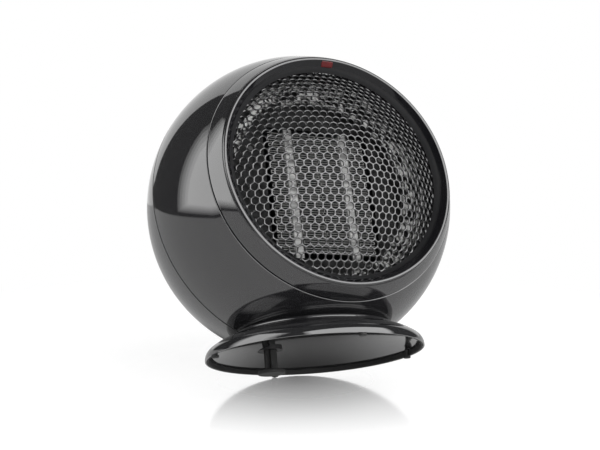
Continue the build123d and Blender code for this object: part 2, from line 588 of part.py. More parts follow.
# Axial fan: domed hub and twisted blades
BLADE_ROOT_CHORD = 15.0
BLADE_TIP_CHORD = 27.0
BLADE_ROOT_PITCH = 48.0
BLADE_TIP_PITCH = 27.0
BLADE_ROOT_SHEET = 2.0
BLADE_TIP_SHEET = 1.2
with BuildPart() as fan_impeller:
    discs(HEAD.offset(FAN_MIDDLE - FAN_HUB_LENGTH / 2), [(0, 0)], FAN_HUB_RADIUS, FAN_HUB_LENGTH)
    fillet(fan_impeller.edges().sort_by(HEAD_AXIS)[-1], radius=5)
    for blade in range(FAN_BLADES):
        turn = radians(360 * blade / FAN_BLADES)
        outward = Vector(1, 0, 0) * cos(turn) + UPWARD * sin(turn)
        around = UPWARD * cos(turn) - Vector(1, 0, 0) * sin(turn)
        hub_point = CENTRE + FORWARD * FAN_MIDDLE
        root = Plane(origin=hub_point + outward * (FAN_HUB_RADIUS - 2), x_dir=around, z_dir=outward)
        tip = Plane(origin=hub_point + outward * FAN_TIP_RADIUS, x_dir=around, z_dir=outward)
        with BuildSketch(root) as root_section:
            Rectangle(BLADE_ROOT_CHORD, BLADE_ROOT_SHEET, rotation=BLADE_ROOT_PITCH)
        with BuildSketch(tip) as tip_section:
            Rectangle(BLADE_TIP_CHORD, BLADE_TIP_SHEET, rotation=BLADE_TIP_PITCH)
        loft(sections=[root_section.sketch.face(), tip_section.sketch.face()])
    discs(
        HEAD.offset(SHAFT_FRONT), [(0, 0)], MOTOR_SHAFT_RADIUS, -FAN_HUB_LENGTH - 4, mode=Mode.SUBTRACT
    )
fan_impeller.part.label = "fan_impeller"
export_step(fan_impeller.part, "parts/fan_impeller.step")

# Rotary switch under the knob flat, its bushing through the shell
SWITCH_SIZE = 25.0
SWITCH_HEIGHT = 17.0
SWITCH_TOP = -KNOB_PAD - 0.1
SWITCH_SHAFT_RADIUS = 3.0
with BuildPart() as rotary_switch:
    with BuildSketch(KNOB_SEAT.offset(SWITCH_TOP)):
        RectangleRounded(SWITCH_SIZE, SWITCH_SIZE, 3)
    extrude(amount=-SWITCH_HEIGHT)
    discs(KNOB_SEAT.offset(SWITCH_TOP), [(0, 0)], BUSHING_RADIUS, -SWITCH_TOP)
    with BuildSketch(KNOB_SEAT.offset(SWITCH_TOP - SWITCH_HEIGHT)):
        with PolarLocations(8.5, 4, start_angle=45):
            Rectangle(4.6, 0.8)
    extrude(amount=-7)
    discs(
        KNOB_SEAT.offset(SWITCH_TOP - SWITCH_HEIGHT + 4),
        [(0, 0)],
        SWITCH_SHAFT_RADIUS + RUNNING_CLEARANCE,
        FLOOR_CUT,
        mode=Mode.SUBTRACT,
    )
rotary_switch.part.label = "rotary_switch"
export_step(rotary_switch.part, "parts/rotary_switch.step")

# Round dial plate on the flat, under the knob
DIAL_RADIUS = 17.4
DIAL_SHEET = 1.0
with BuildPart() as dial_plate:
    discs(KNOB_SEAT.offset(0.05), [(0, 0)], DIAL_RADIUS, DIAL_SHEET)
    discs(KNOB_SEAT, [(0, 0)], BUSHING_RADIUS + 0.6, 4, mode=Mode.SUBTRACT)
dial_plate.part.label = "dial_plate"
export_step(dial_plate.part, "parts/dial_plate.step")

# Switch shaft, which turns with the knob
KNOB_BOTTOM = DIAL_SHEET + 0.5
SWITCH_SHAFT_LOW = SWITCH_TOP - SWITCH_HEIGHT + 4.3
SWITCH_SHAFT_HIGH = KNOB_BOTTOM + 8
with BuildPart() as switch_shaft:
    discs(
        KNOB_SEAT.offset(SWITCH_SHAFT_LOW),
        [(0, 0)],
        SWITCH_SHAFT_RADIUS,
        SWITCH_SHAFT_HIGH - SWITCH_SHAFT_LOW,
    )
switch_shaft.part.label = "switch_shaft"
export_step(switch_shaft.part, "parts/switch_shaft.step")

# Control knob: tapered body, finger scallops and a raised pointer on top
KNOB_SCALLOPS = 12
POINTER_ANGLE = -22.5
with BuildPart() as control_knob:
    with BuildSketch(KNOB_SEAT.offset(KNOB_BOTTOM)):
        Circle(KNOB_RADIUS)
        with PolarLocations(KNOB_RADIUS + 0.7, KNOB_SCALLOPS):
            Circle(1.5, mode=Mode.SUBTRACT)
    extrude(amount=KNOB_HEIGHT, taper=5)
    with BuildSketch(KNOB_SEAT.offset(KNOB_BOTTOM + KNOB_HEIGHT)):
        with Locations(*polar(KNOB_RADIUS / 2 - 1.5, (POINTER_ANGLE,))):
            SlotOverall(7.5, 1.6, rotation=POINTER_ANGLE)
    extrude(amount=0.8)
    discs(
        KNOB_SEAT.offset(KNOB_BOTTOM),
        [(0, 0)],
        SWITCH_SHAFT_RADIUS,
        SWITCH_SHAFT_HIGH - KNOB_BOTTOM,
        mode=Mode.SUBTRACT,
    )
    discs(KNOB_SEAT.offset(KNOB_BOTTOM - 1), [(0, 0)], BUSHING_RADIUS + 1, 1.6, mode=Mode.SUBTRACT)
control_knob.part.label = "control_knob"
export_step(control_knob.part, "parts/control_knob.step")

# Cord gland low on the back, a bush with an inner flange
GLAND_FRONT = -44.0
GLAND_BACK = -70.0
with BuildPart() as cord_gland:
    discs(HEAD.offset(GLAND_FRONT), [(0, -GLAND_DROP)], GLAND_RADIUS, GLAND_BACK - GLAND_FRONT)
    discs(HEAD.offset(GLAND_FRONT), [(0, -GLAND_DROP)], GLAND_RADIUS + 1.8, -2.2)
    discs(HEAD.offset(GLAND_FRONT), [(0, -GLAND_DROP)], GLAND_BORE, -FLOOR_CUT, mode=Mode.SUBTRACT)
cord_gland.part.label = "cord_gland"
export_step(cord_gland.part, "parts/cord_gland.step")

# Room that the globe takes up in the base, above the deck
SEAT_ISLAND = 25.0
with BuildPart() as globe_seat:
    with Locations(CENTRE):
        Sphere(GLOBE_RADIUS + 0.15)
    cut_below(DECK_HEIGHT)
    with Locations((0, CENTRE.Y, DECK_HEIGHT)):
        Cylinder(SEAT_ISLAND, FLOOR_CUT, mode=Mode.SUBTRACT)

# Base: steep rim, flared skirt and upright neck outside, shallow dish below,
# flat deck that the globe stands on
RIM_BULGE = (58.2, 4.9)
FLARE_LOW = (56.4, 7.0)
FLARE_BULGE = (51.1, 10.2)
FLARE_HIGH = (45.2, 12.2)
NECK_HOLLOW = (44.3, 12.5)
NECK_LOW = (43.9, 13.0)
NECK_BULGE = (43.5, 14.0)
NECK_HIGH = (42.5, NECK_HEIGHT)
DISH_EDGE = RIM_HEIGHT + LIP_THICKNESS + 0.1
DISH_MIDDLE = (28.0, 8.6)
GUIDE_RADIUS = 5.0
GUIDE_FLANGE_RADIUS = 6.8
GUIDE_LOW = 8.1
GUIDE_FLANGE = 1.3
HOUSING_RADIUS = 7.2
BASE_SCREW_PILOT = 3.4
PLUNGER_AT = [(PLUNGER_X, PLUNGER_Y)]
with BuildPart() as base_skirt:
    with BuildSketch(Plane.XZ):
        with BuildLine():
            ThreePointArc((RIM_RADIUS, RIM_HEIGHT), RIM_BULGE, FLARE_LOW)
            ThreePointArc(FLARE_LOW, FLARE_BULGE, FLARE_HIGH)
            ThreePointArc(FLARE_HIGH, NECK_HOLLOW, NECK_LOW)
            ThreePointArc(NECK_LOW, NECK_BULGE, NECK_HIGH)
            Polyline(NECK_HIGH, (0, NECK_HEIGHT), (0, DISH_HEIGHT))
            ThreePointArc((0, DISH_HEIGHT), DISH_MIDDLE, (LIP_INNER, DISH_EDGE))
            Polyline(
                (LIP_INNER, DISH_EDGE),
                (LIP_OUTER + 0.1, DISH_EDGE),
                (LIP_OUTER + 0.1, RIM_HEIGHT),
                (RIM_RADIUS, RIM_HEIGHT),
            )
        make_face()
    revolve(axis=Axis.Z)
    add(globe_seat.part, mode=Mode.SUBTRACT)
    discs(Plane.XY.offset(DECK_HEIGHT), PLUNGER_AT, HOUSING_RADIUS + 0.3, 30, mode=Mode.SUBTRACT)
    discs(Plane.XY, PLUNGER_AT, GUIDE_RADIUS + 0.1, 30, mode=Mode.SUBTRACT)
    discs(
        Plane.XY.offset(GUIDE_LOW + GUIDE_FLANGE + 0.05),
        PLUNGER_AT,
        GUIDE_FLANGE_RADIUS + 0.1,
        -30,
        mode=Mode.SUBTRACT,
    )
    discs(Plane.XY.offset(DECK_HEIGHT), BASE_SCREWS, PILOT_RADIUS, -BASE_SCREW_PILOT, mode=Mode.SUBTRACT)
base_skirt.part.label = "base_skirt"
export_step(base_skirt.part, "parts/base_skirt.step")

# Ring pressed into the rim of the base
FEET = polar(FOOT_CIRCLE, (0, 90, 180, 270))
with BuildPart() as base_ring:
    with BuildSketch(Plane.XY.offset(RIM_HEIGHT)):
        Circle(LIP_OUTER)
        Circle(LIP_INNER, mode=Mode.SUBTRACT)
    extrude(amount=LIP_THICKNESS)
base_ring.part.label = "base_ring"
export_step(base_ring.part, "parts/base_ring.step")

# Four small rubber feet stuck on the ring
with BuildPart() as rubber_feet:
    discs(Plane.XY, FEET, FOOT_RADIUS, RIM_HEIGHT - 0.05)
    chamfer(rubber_feet.edges().group_by(Axis.Z)[0], length=0.3)
rubber_feet.part.label = "rubber_feet"
export_step(rubber_feet.part, "parts/rubber_feet.step")

# Flanged bush in the dish that guides the tip-over plunger
STEM_WIDTH = 6.8
STEM_BORE = 3.9
GUIDE_TOP = 15.0
with BuildPart() as plunger_guide:
    discs(Plane.XY.offset(GUIDE_LOW), PLUNGER_AT, GUIDE_FLANGE_RADIUS, GUIDE_FLANGE)
    discs(Plane.XY.offset(GUIDE_LOW), PLUNGER_AT, GUIDE_RADIUS, GUIDE_TOP - GUIDE_LOW)
    discs(Plane.XY, PLUNGER_AT, STEM_BORE, 30, mode=Mode.SUBTRACT)
plunger_guide.part.label = "plunger_guide"
export_step(plunger_guide.part, "parts/plunger_guide.step")

# Tip-over plunger, pushed out by its spring: foot disc, four-ribbed stem, stop collar and spring pin
PLUNGER_FOOT_RADIUS = 7.6
PLUNGER_FOOT = 2.2
STEM_RIB = 2.2
COLLAR_RADIUS = 5.4
COLLAR_LOW = GUIDE_TOP + 0.3
COLLAR_HEIGHT = 1.4
SPRING_LOW = COLLAR_LOW + COLLAR_HEIGHT
SPRING_PIN_RADIUS = 2.6
SPRING_PIN = 3.4
STEM_LOW = PLUNGER_FOOT - PLUNGER_TRAVEL
with BuildPart() as tip_plunger:
    discs(Plane.XY.offset(-PLUNGER_TRAVEL), PLUNGER_AT, PLUNGER_FOOT_RADIUS, PLUNGER_FOOT)
    fillet(tip_plunger.edges().filter_by(GeomType.CIRCLE), radius=0.6)
    with BuildSketch(Plane.XY.offset(STEM_LOW)):
        with Locations(*PLUNGER_AT):
            Rectangle(STEM_RIB, STEM_WIDTH)
            Rectangle(STEM_WIDTH, STEM_RIB)
    extrude(amount=COLLAR_LOW - STEM_LOW)
    discs(Plane.XY.offset(COLLAR_LOW), PLUNGER_AT, COLLAR_RADIUS, COLLAR_HEIGHT)
    discs(Plane.XY.offset(SPRING_LOW), PLUNGER_AT, SPRING_PIN_RADIUS, SPRING_PIN)
tip_plunger.part.label = "tip_plunger"
export_step(tip_plunger.part, "parts/tip_plunger.step")

# Housing of the tip-over switch on the deck, with the switch block behind it
HOUSING_BORE = 5.9
HOUSING_LOW = 14.2
HOUSING_CEILING = 26.0
HOUSING_TOP = 27.2
HOUSING_FOOT_RADIUS = 6.6
HOUSING_FOOT = 3.0
BLOCK_SETBACK = 8.5
BLOCK_LOW = 15.0
BLOCK_HEIGHT = 20.0
with BuildPart() as tip_switch:
    discs(Plane.XY.offset(HOUSING_LOW), PLUNGER_AT, HOUSING_RADIUS, HOUSING_TOP - HOUSING_LOW)
    discs(Plane.XY.offset(DECK_HEIGHT + 0.05), PLUNGER_AT, HOUSING_FOOT_RADIUS, HOUSING_FOOT)
    with BuildSketch(Plane.XY.offset(BLOCK_LOW)):
        with Locations((PLUNGER_X, PLUNGER_Y + BLOCK_SETBACK)):
            RectangleRounded(12, 8, 1)
    extrude(amount=BLOCK_HEIGHT)
    with BuildSketch(Plane.XY.offset(BLOCK_LOW + BLOCK_HEIGHT)):
        with Locations((PLUNGER_X, PLUNGER_Y + BLOCK_SETBACK)):
            with GridLocations(7, 0, 2, 1):
                Rectangle(0.8, 4.6)
    extrude(amount=6)
    discs(Plane.XY, PLUNGER_AT, HOUSING_BORE, HOUSING_CEILING, mode=Mode.SUBTRACT)
tip_switch.part.label = "tip_switch"
export_step(tip_switch.part, "parts/tip_switch.step")

# Compression spring between the plunger's collar and the housing's ceiling
SPRING_RADIUS = 4.0
SPRING_WIRE = 0.35
SPRING_TURNS = 3
SPRING_BOTTOM = SPRING_LOW + SPRING_WIRE + 0.05
SPRING_LENGTH = HOUSING_CEILING - SPRING_WIRE - 0.05 - SPRING_BOTTOM
with BuildPart() as plunger_spring:
    with BuildLine():
        coil = Helix(
            pitch=SPRING_LENGTH / SPRING_TURNS,
            height=SPRING_LENGTH,
            radius=SPRING_RADIUS,
            center=(PLUNGER_X, PLUNGER_Y, SPRING_BOTTOM),
        )
    with BuildSketch(Plane(origin=coil @ 0, z_dir=coil % 0)):
        RegularPolygon(SPRING_WIRE, 6)
    sweep(is_frenet=True)
plunger_spring.part.label = "plunger_spring"
export_step(plunger_spring.part, "parts/plunger_spring.step")

# Screws that hold the two halves of the globe together, deep in their tunnels
with BuildPart() as case_screws:
    pan_screws(facing_back(-TUNNEL_FLOOR - 0.05), mirrored(CASE_SCREWS), 20)
case_screws.part.label = "case_screws"
export_step(case_screws.part, "parts/case_screws.step")

# Screws through the duct's tabs and the shell's flange into the bezel
with BuildPart() as bezel_screws:
    pan_screws(facing_back(SHELL_FLANGE_BACK - TAB_THICKNESS - 0.05), mirrored(BEZEL_SCREWS), 8)
bezel_screws.part.label = "bezel_screws"
export_step(bezel_screws.part, "parts/bezel_screws.step")

# Screws that hold the motor's spider on the duct
with BuildPart() as bracket_screws:
    pan_screws(facing_back(BRACKET_BACK - 0.05), mirrored(BRACKET_SCREWS), 10)
bracket_screws.part.label = "bracket_screws"
export_step(bracket_screws.part, "parts/bracket_screws.step")

# Screws that hold the motor on the spider, put in from the fan's side
with BuildPart() as motor_screws:
    pan_screws(HEAD.offset(BRACKET_FRONT + 0.05), MOTOR_SCREWS, 6)
motor_screws.part.label = "motor_screws"
export_step(motor_screws.part, "parts/motor_screws.step")

# Screws that hold the element's frame on the duct plate
with BuildPart() as frame_screws:
    pan_screws(facing_back(FRAME_FRONT - EAR_THICKNESS - 0.05), mirrored(FRAME_SCREWS), 5)
frame_screws.part.label = "frame_screws"
export_step(frame_screws.part, "parts/frame_screws.step")

# Screws from inside the front shell down into the base
BASE_SCREW_SEAT = Plane.XY.offset(DECK_HEIGHT + FLOOR_PLATE + 0.05)
BASE_SCREW_LENGTH = FLOOR_PLATE + BASE_SCREW_PILOT - 0.2
with BuildPart() as base_screws:
    pan_screws(BASE_SCREW_SEAT, BASE_SCREWS, BASE_SCREW_LENGTH)
base_screws.part.label = "base_screws"
export_step(base_screws.part, "parts/base_screws.step")
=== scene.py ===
import json
from math import atan2, cos, hypot, pi, radians, sin, sqrt, tan

import bmesh
import bpy
from mathutils import Matrix, Vector


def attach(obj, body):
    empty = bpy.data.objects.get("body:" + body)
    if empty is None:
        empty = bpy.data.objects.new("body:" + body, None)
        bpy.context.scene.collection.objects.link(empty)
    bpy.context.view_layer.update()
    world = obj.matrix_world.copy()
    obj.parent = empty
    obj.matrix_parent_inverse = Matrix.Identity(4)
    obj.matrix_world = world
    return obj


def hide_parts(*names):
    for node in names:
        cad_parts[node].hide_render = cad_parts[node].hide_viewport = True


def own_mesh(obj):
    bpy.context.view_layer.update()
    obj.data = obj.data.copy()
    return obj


# Looks of a globe-shaped ceramic space heater, in metres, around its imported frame.
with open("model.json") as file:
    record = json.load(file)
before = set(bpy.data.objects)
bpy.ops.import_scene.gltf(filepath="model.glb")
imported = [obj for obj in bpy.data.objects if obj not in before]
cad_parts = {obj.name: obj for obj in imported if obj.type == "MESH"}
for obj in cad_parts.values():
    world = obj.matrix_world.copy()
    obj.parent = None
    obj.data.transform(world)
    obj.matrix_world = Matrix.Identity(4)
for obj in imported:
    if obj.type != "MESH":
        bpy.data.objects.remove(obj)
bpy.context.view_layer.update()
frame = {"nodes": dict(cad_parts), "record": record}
nodes = frame["nodes"]
MM = 0.001

# Head of the heater: a globe that leans back a little, with its outlet facing -Y
LEAN = radians(3.76)
CENTRE = Vector((0, 5.55, 87.07)) * MM
RIGHT = Vector((1, 0, 0))
UPWARD = Vector((0, sin(LEAN), cos(LEAN)))
FORWARD = Vector((0, -cos(LEAN), sin(LEAN)))
HEAD = Matrix.Translation(CENTRE) @ Matrix((RIGHT, UPWARD, FORWARD)).transposed().to_4x4()

# Domed front grille, as the sheet lies before and after it is pressed
GRILLE_RIM_RADIUS = 58.0 * MM
GRILLE_RIM_DEPTH = 51.2 * MM
GRILLE_HALF_ANGLE = radians(33)
GRILLE_FLANGE_RADIUS = 61.0 * MM
GRILLE_SHEET = 0.8 * MM
GRILLE_PITCH = 4.3 * MM
GRILLE_WEB = 0.88 * MM
GRILLE_ROUND = 0.98 * MM
GRILLE_CURVE = GRILLE_RIM_RADIUS / sin(GRILLE_HALF_ANGLE)
GRILLE_PIVOT = GRILLE_RIM_DEPTH - GRILLE_CURVE * cos(GRILLE_HALF_ANGLE)
GRILLE_SPAN = GRILLE_CURVE * GRILLE_HALF_ANGLE
GRILLE_EVEN = GRILLE_SPAN + 1.0 * MM
GRILLE_FLAT_RADIUS = GRILLE_SPAN + 7.4 * MM
GRILLE_BORDER = 0.62 * GRILLE_PITCH
GRILLE_RIM_STEPS = 180
# Steps from the middle of a web into its hole: distance from the hole's wall, then height
GRILLE_LIP = (
    (0.39 * GRILLE_WEB, -0.01 * GRILLE_SHEET),
    (0.23 * GRILLE_WEB, -0.08 * GRILLE_SHEET),
    (0.09 * GRILLE_WEB, -0.21 * GRILLE_SHEET),
    (0.02 * GRILLE_WEB, -0.37 * GRILLE_SHEET),
    (0.0, -0.55 * GRILLE_SHEET),
    (0.0, -GRILLE_SHEET),
)

# Camera of the photograph
CAMERA_AT = Vector((-0.23926, -0.50584, -0.09937))
CAMERA_RIGHT = Vector((0.91299856, -0.40060611, -0.07712577))
CAMERA_UP = Vector((-0.05267032, -0.30321652, 0.95146496))
CAMERA_BACK = CAMERA_RIGHT.cross(CAMERA_UP)
CAMERA_LENS = 63.0

# Studio: a white table and backdrop; the table's mirror image and shadows fade with distance
FLOOR_PITCH = radians(6)
FLOOR_REACH = 1.3
BACKDROP_HALF_ANGLE = radians(41)
STUDIO_GREY = 0.08
FLOOR_WHITE = 1.32
FLOOR_MIRRORED = 0.62
MIRROR_SHARE = 0.80
MIRROR_REACH = 0.13
MIRROR_SHIFT = 0.012
SHADOW_SHARE = 0.40
SHADOW_INNER = 0.12
SHADOW_OUTER = 0.40
SHADE_DARK = 0.10
SHADE_INNER = 0.045
SHADE_OUTER = 0.09
SHADE_SHIFT = (0.012, 0.055)
TABLE_ROUGHNESS = 0.14
MATT_WHITE = (0.9, 0.9, 0.9, 1)
PANEL_LAYERS = 5
PANEL_GAP = 0.002


def add_object(name, mesh):
    """Put a mesh into the scene under a name."""
    made = bpy.data.objects.new(name, mesh)
    bpy.context.scene.collection.objects.link(made)
    return made


def finish_mesh(name, built, sharp=40):
    """Turn a bmesh into an object with smooth faces and sharp creases."""
    bmesh.ops.recalc_face_normals(built, faces=built.faces)
    mesh = bpy.data.meshes.new(name)
    built.to_mesh(mesh)
    built.free()
    mesh.polygons.foreach_set("use_smooth", [True] * len(mesh.polygons))
    mesh.set_sharp_from_angle(angle=radians(sharp))
    return add_object(name, mesh)


# Shader helpers


def new_material(name):
    """Node material with its principled shader."""
    made = bpy.data.materials.new(name)
    made.use_nodes = True
    return made, made.node_tree.nodes["Principled BSDF"]


def add_node(made, kind, **settings):
    """Add a node to a material or world and set its properties."""
    node = made.node_tree.nodes.new(kind)
    for key, value in settings.items():
        setattr(node, key, value)
    return node


def link(made, source, target):
    """Join an output to an input."""
    made.node_tree.links.new(source, target)


def noise(made, scale, detail=3.0, stretch=(1, 1, 1)):
    """Noise over the part's own coordinates, with scale counted per metre."""
    place = add_node(made, "ShaderNodeTexCoord")
    spread = add_node(made, "ShaderNodeMapping")
    spread.inputs["Scale"].default_value = stretch
    grain = add_node(made, "ShaderNodeTexNoise")
    grain.inputs["Scale"].default_value = scale
    grain.inputs["Detail"].default_value = detail
    link(made, place.outputs["Object"], spread.inputs["Vector"])
    link(made, spread.outputs["Vector"], grain.inputs["Vector"])
    return grain.outputs["Fac"]


def ranged(made, value, low, high):
    """Spread the middle of a noise between two values."""
    spread = add_node(made, "ShaderNodeMapRange")
    spread.inputs["From Min"].default_value = 0.3
    spread.inputs["From Max"].default_value = 0.7
    spread.inputs["To Min"].default_value = low
    spread.inputs["To Max"].default_value = high
    link(made, value, spread.inputs["Value"])
    return spread.outputs["Result"]


def toned(made, value, dark, light):
    """Mix two colours by a value."""
    tone = add_node(made, "ShaderNodeMix", data_type="RGBA")
    tone.inputs["A"].default_value = (*dark, 1)
    tone.inputs["B"].default_value = (*light, 1)
    link(made, value, tone.inputs["Factor"])
    return tone.outputs["Result"]


def surface(name, dark, light, rough, patch, grain, bump, stretch=(1, 1, 1), **sockets):
    """Moulded, painted or rolled surface: patchy tone and gloss, and a fine relief.

    patch and grain are noise scales per metre, bump is the relief in metres.
    """
    made, shader = new_material(name)
    broad = noise(made, patch, stretch=stretch)
    fine = noise(made, grain, detail=5.0, stretch=stretch)
    link(made, toned(made, ranged(made, broad, 0, 1), dark, light), shader.inputs["Base Color"])
    link(made, ranged(made, fine, *rough), shader.inputs["Roughness"])
    relief = add_node(made, "ShaderNodeBump")
    relief.inputs["Strength"].default_value = 1.0
    relief.inputs["Distance"].default_value = bump
    link(made, fine, relief.inputs["Height"])
    link(made, relief.outputs["Normal"], shader.inputs["Normal"])
    for socket, value in sockets.items():
        shader.inputs[socket.replace("_", " ")].default_value = value
    return made


FINISH = {
    "shell": surface(
        "gloss_shell", (0.010, 0.010, 0.011), (0.014, 0.014, 0.015), (0.04, 0.07), 25, 400, 0.1e-6, IOR=2.0
    ),
    "bezel": surface(
        "gloss_bezel", (0.011, 0.011, 0.012), (0.015, 0.015, 0.016), (0.04, 0.07), 25, 400, 0.1e-6, IOR=2.0
    ),
    "satin_black": surface(
        "satin_black", (0.014, 0.014, 0.015), (0.022, 0.022, 0.023), (0.32, 0.42), 60, 2500, 4e-6
    ),
    "grille": surface(
        "grille_enamel", (0.007, 0.007, 0.008), (0.012, 0.012, 0.013), (0.09, 0.15), 80, 3000, 2e-6, IOR=2.2
    ),
    "red_lens": surface(
        "red_lens", (0.070, 0.003, 0.004), (0.110, 0.004, 0.005), (0.08, 0.14), 300, 2500, 2e-6
    ),
    "lamp": surface("lamp_glass", (0.75, 0.6, 0.55), (0.85, 0.72, 0.66), (0.05, 0.1), 200, 900, 1e-6),
    "knob": surface(
        "knob_satin", (0.016, 0.016, 0.017), (0.026, 0.026, 0.027), (0.35, 0.45), 60, 3000, 5e-6
    ),
    "steel": surface(
        "zinc_steel", (0.42, 0.42, 0.43), (0.58, 0.58, 0.57), (0.28, 0.45), 120, 1800, 6e-6, Metallic=1.0
    ),
    "black_steel": surface(
        "black_steel", (0.02, 0.02, 0.02), (0.035, 0.035, 0.036), (0.35, 0.5), 120, 2500, 5e-6
    ),
    "switch": surface("phenolic", (0.05, 0.048, 0.045), (0.08, 0.077, 0.072), (0.45, 0.6), 90, 2500, 8e-6),
    "rubber": surface("rubber", (0.014, 0.014, 0.014), (0.024, 0.024, 0.024), (0.6, 0.75), 90, 3500, 1e-5),
    "duct": surface(
        "heat_proof_grey",
        (0.006, 0.006, 0.006),
        (0.040, 0.040, 0.041),
        (0.12, 0.20),
        260,
        2000,
        2e-6,
        IOR=1.4,
    ),
    "frame_black": surface(
        "glass_filled_black", (0.010, 0.010, 0.010), (0.018, 0.018, 0.018), (0.5, 0.65), 120, 3500, 8e-6
    ),
    "aluminium": surface(
        "mill_aluminium",
        (0.09, 0.09, 0.09),
        (0.36, 0.36, 0.355),
        (0.32, 0.50),
        150,
        1500,
        6e-6,
        stretch=(0.2, 1, 3),
        Metallic=1.0,
    ),
    "brass": surface(
        "brass", (0.55, 0.40, 0.16), (0.70, 0.53, 0.24), (0.25, 0.4), 150, 1500, 5e-6, Metallic=1.0
    ),
    "fan": surface("fan_moulding", (0.06, 0.06, 0.06), (0.09, 0.09, 0.09), (0.35, 0.5), 60, 2200, 6e-6),
}

for part in frame["record"]["subparts"]:
    nodes[part["node"]].data.materials[0] = FINISH[part["material_slot"]]


def fin_material_with_painted_shade():
    """Folded aluminium strip: bright cut edges to the front, and painted shade that darkens the sides."""
    made = surface(
        "fin_strip_painted_shade", (0.13, 0.13, 0.13), (0.20, 0.20, 0.195), (0.30, 0.45), 150, 1500, 5e-6, Metallic=1.0
    )
    shader = made.node_tree.nodes["Principled BSDF"]
    bright = shader.inputs["Base Color"].links[0].from_socket
    shape = add_node(made, "ShaderNodeNewGeometry")
    facing = add_node(made, "ShaderNodeVectorMath", operation="DOT_PRODUCT")
    facing.inputs[1].default_value = FORWARD
    link(made, shape.outputs["True Normal"], facing.inputs[0])
    # Painted shade: faces that turn away from the front fade to near black, as if shaded deep between the
    # folds.
    tone = add_node(made, "ShaderNodeMix", data_type="RGBA")
    tone.inputs["A"].default_value = (0.02, 0.02, 0.021, 1)
    link(made, facing.outputs["Value"], tone.inputs["Factor"])
    link(made, bright, tone.inputs["B"])
    link(made, tone.outputs["Result"], shader.inputs["Base Color"])
    return made


def offset_from_centre(made):
    """The part's own coordinates, counted from the middle of the globe."""
    place = add_node(made, "ShaderNodeTexCoord")
    moved = add_node(made, "ShaderNodeVectorMath", operation="SUBTRACT")
    moved.inputs[1].default_value = CENTRE
    link(made, place.outputs["Object"], moved.inputs[0])
    return moved.outputs["Vector"]


def depth_along_front(made):
    """Depth along the front axis."""
    depth = add_node(made, "ShaderNodeVectorMath", operation="DOT_PRODUCT")
    depth.inputs[1].default_value = FORWARD
    link(made, offset_from_centre(made), depth.inputs[0])
    return depth.outputs["Value"]


def radius_about_front(made):
    """Distance from the front axis."""
    beside = add_node(made, "ShaderNodeVectorMath", operation="CROSS_PRODUCT")
    beside.inputs[1].default_value = FORWARD
    link(made, offset_from_centre(made), beside.inputs[0])
    radius = add_node(made, "ShaderNodeVectorMath", operation="LENGTH")
    link(made, beside.outputs["Vector"], radius.inputs[0])
    return radius.outputs["Value"]


def stepped(made, value, low, high, first, last):
    """Go smoothly from one number to another while a value rises from low to high."""
    spread = add_node(made, "ShaderNodeMapRange", interpolation_type="SMOOTHSTEP")
    spread.inputs["From Min"].default_value = low
    spread.inputs["From Max"].default_value = high
    spread.inputs["To Min"].default_value = first
    spread.inputs["To Max"].default_value = last
    link(made, value, spread.inputs["Value"])
    return spread.outputs["Result"]


def blended(made, factor, socket, other):
    """Mix what feeds a colour or number socket with a fixed value."""
    kind = "FLOAT" if isinstance(other, float) else "RGBA"
    blend = add_node(made, "ShaderNodeMix", data_type=kind)
    blend.inputs["B"].default_value = other
    link(made, factor, blend.inputs["Factor"])
    link(made, socket.links[0].from_socket, blend.inputs["A"])
    link(made, blend.outputs["Result"], socket)


# Painted glints in the duct: noise scale per metre, where the noise turns light, and where they lie
PAINTED_GLINT_SCALE = 300
PAINTED_GLINT_STEP = (0.47, 0.60)
PAINTED_GLINT_RADIUS = (49 * MM, 53 * MM)
PAINTED_GLINT_DEPTH = (40 * MM, 45 * MM)
PAINTED_GLINT_COLOUR = (0.75, 0.75, 0.74, 1)

# Shadow line between the halves of the globe: half its width, dark up to the first and gone at the second
SEAM_FADE = (0.45 * MM, 0.85 * MM)
SEAM_COLOUR = (0.001, 0.001, 0.001, 1)
SEAM_ROUGHNESS = 0.9


def duct_material():
    """Dark mottled sheet, with painted glints: light spots in the corner between its plate and its wall."""
    made = surface(
        "duct_sheet_painted_glints", (0.003, 0.003, 0.003), (0.026, 0.026, 0.027), (0.12, 0.20), 240, 2000, 2e-6, IOR=1.15
    )
    shader = made.node_tree.nodes["Principled BSDF"]
    # Painted glints: light spots from a noise, kept to a ring in the corner of plate and wall.
    painted_glints = stepped(made, noise(made, PAINTED_GLINT_SCALE, detail=1.0), *PAINTED_GLINT_STEP, 0.0, 1.0)
    inside = stepped(made, radius_about_front(made), *PAINTED_GLINT_RADIUS, 0.0, 1.0)
    behind = stepped(made, depth_along_front(made), *PAINTED_GLINT_DEPTH, 1.0, 0.0)
    ring = add_node(made, "ShaderNodeMath", operation="MULTIPLY")
    link(made, inside, ring.inputs[0])
    link(made, behind, ring.inputs[1])
    shown = add_node(made, "ShaderNodeMath", operation="MULTIPLY")
    link(made, painted_glints, shown.inputs[0])
    link(made, ring.outputs[0], shown.inputs[1])
    blended(made, shown.outputs[0], shader.inputs["Base Color"], PAINTED_GLINT_COLOUR)
    return made


def globe_material():
    """Gloss black of the globe, with the shadow line between its two halves."""
    made = surface(
        "gloss_globe", (0.010, 0.010, 0.011), (0.014, 0.014, 0.015), (0.04, 0.07), 25, 400, 0.1e-6, IOR=2.0
    )
    shader = made.node_tree.nodes["Principled BSDF"]
    away = add_node(made, "ShaderNodeMath", operation="ABSOLUTE")
    link(made, depth_along_front(made), away.inputs[0])
    seam = stepped(made, away.outputs[0], *SEAM_FADE, 1.0, 0.0)
    blended(made, seam, shader.inputs["Base Color"], SEAM_COLOUR)
    blended(made, seam, shader.inputs["Roughness"], SEAM_ROUGHNESS)
    return made


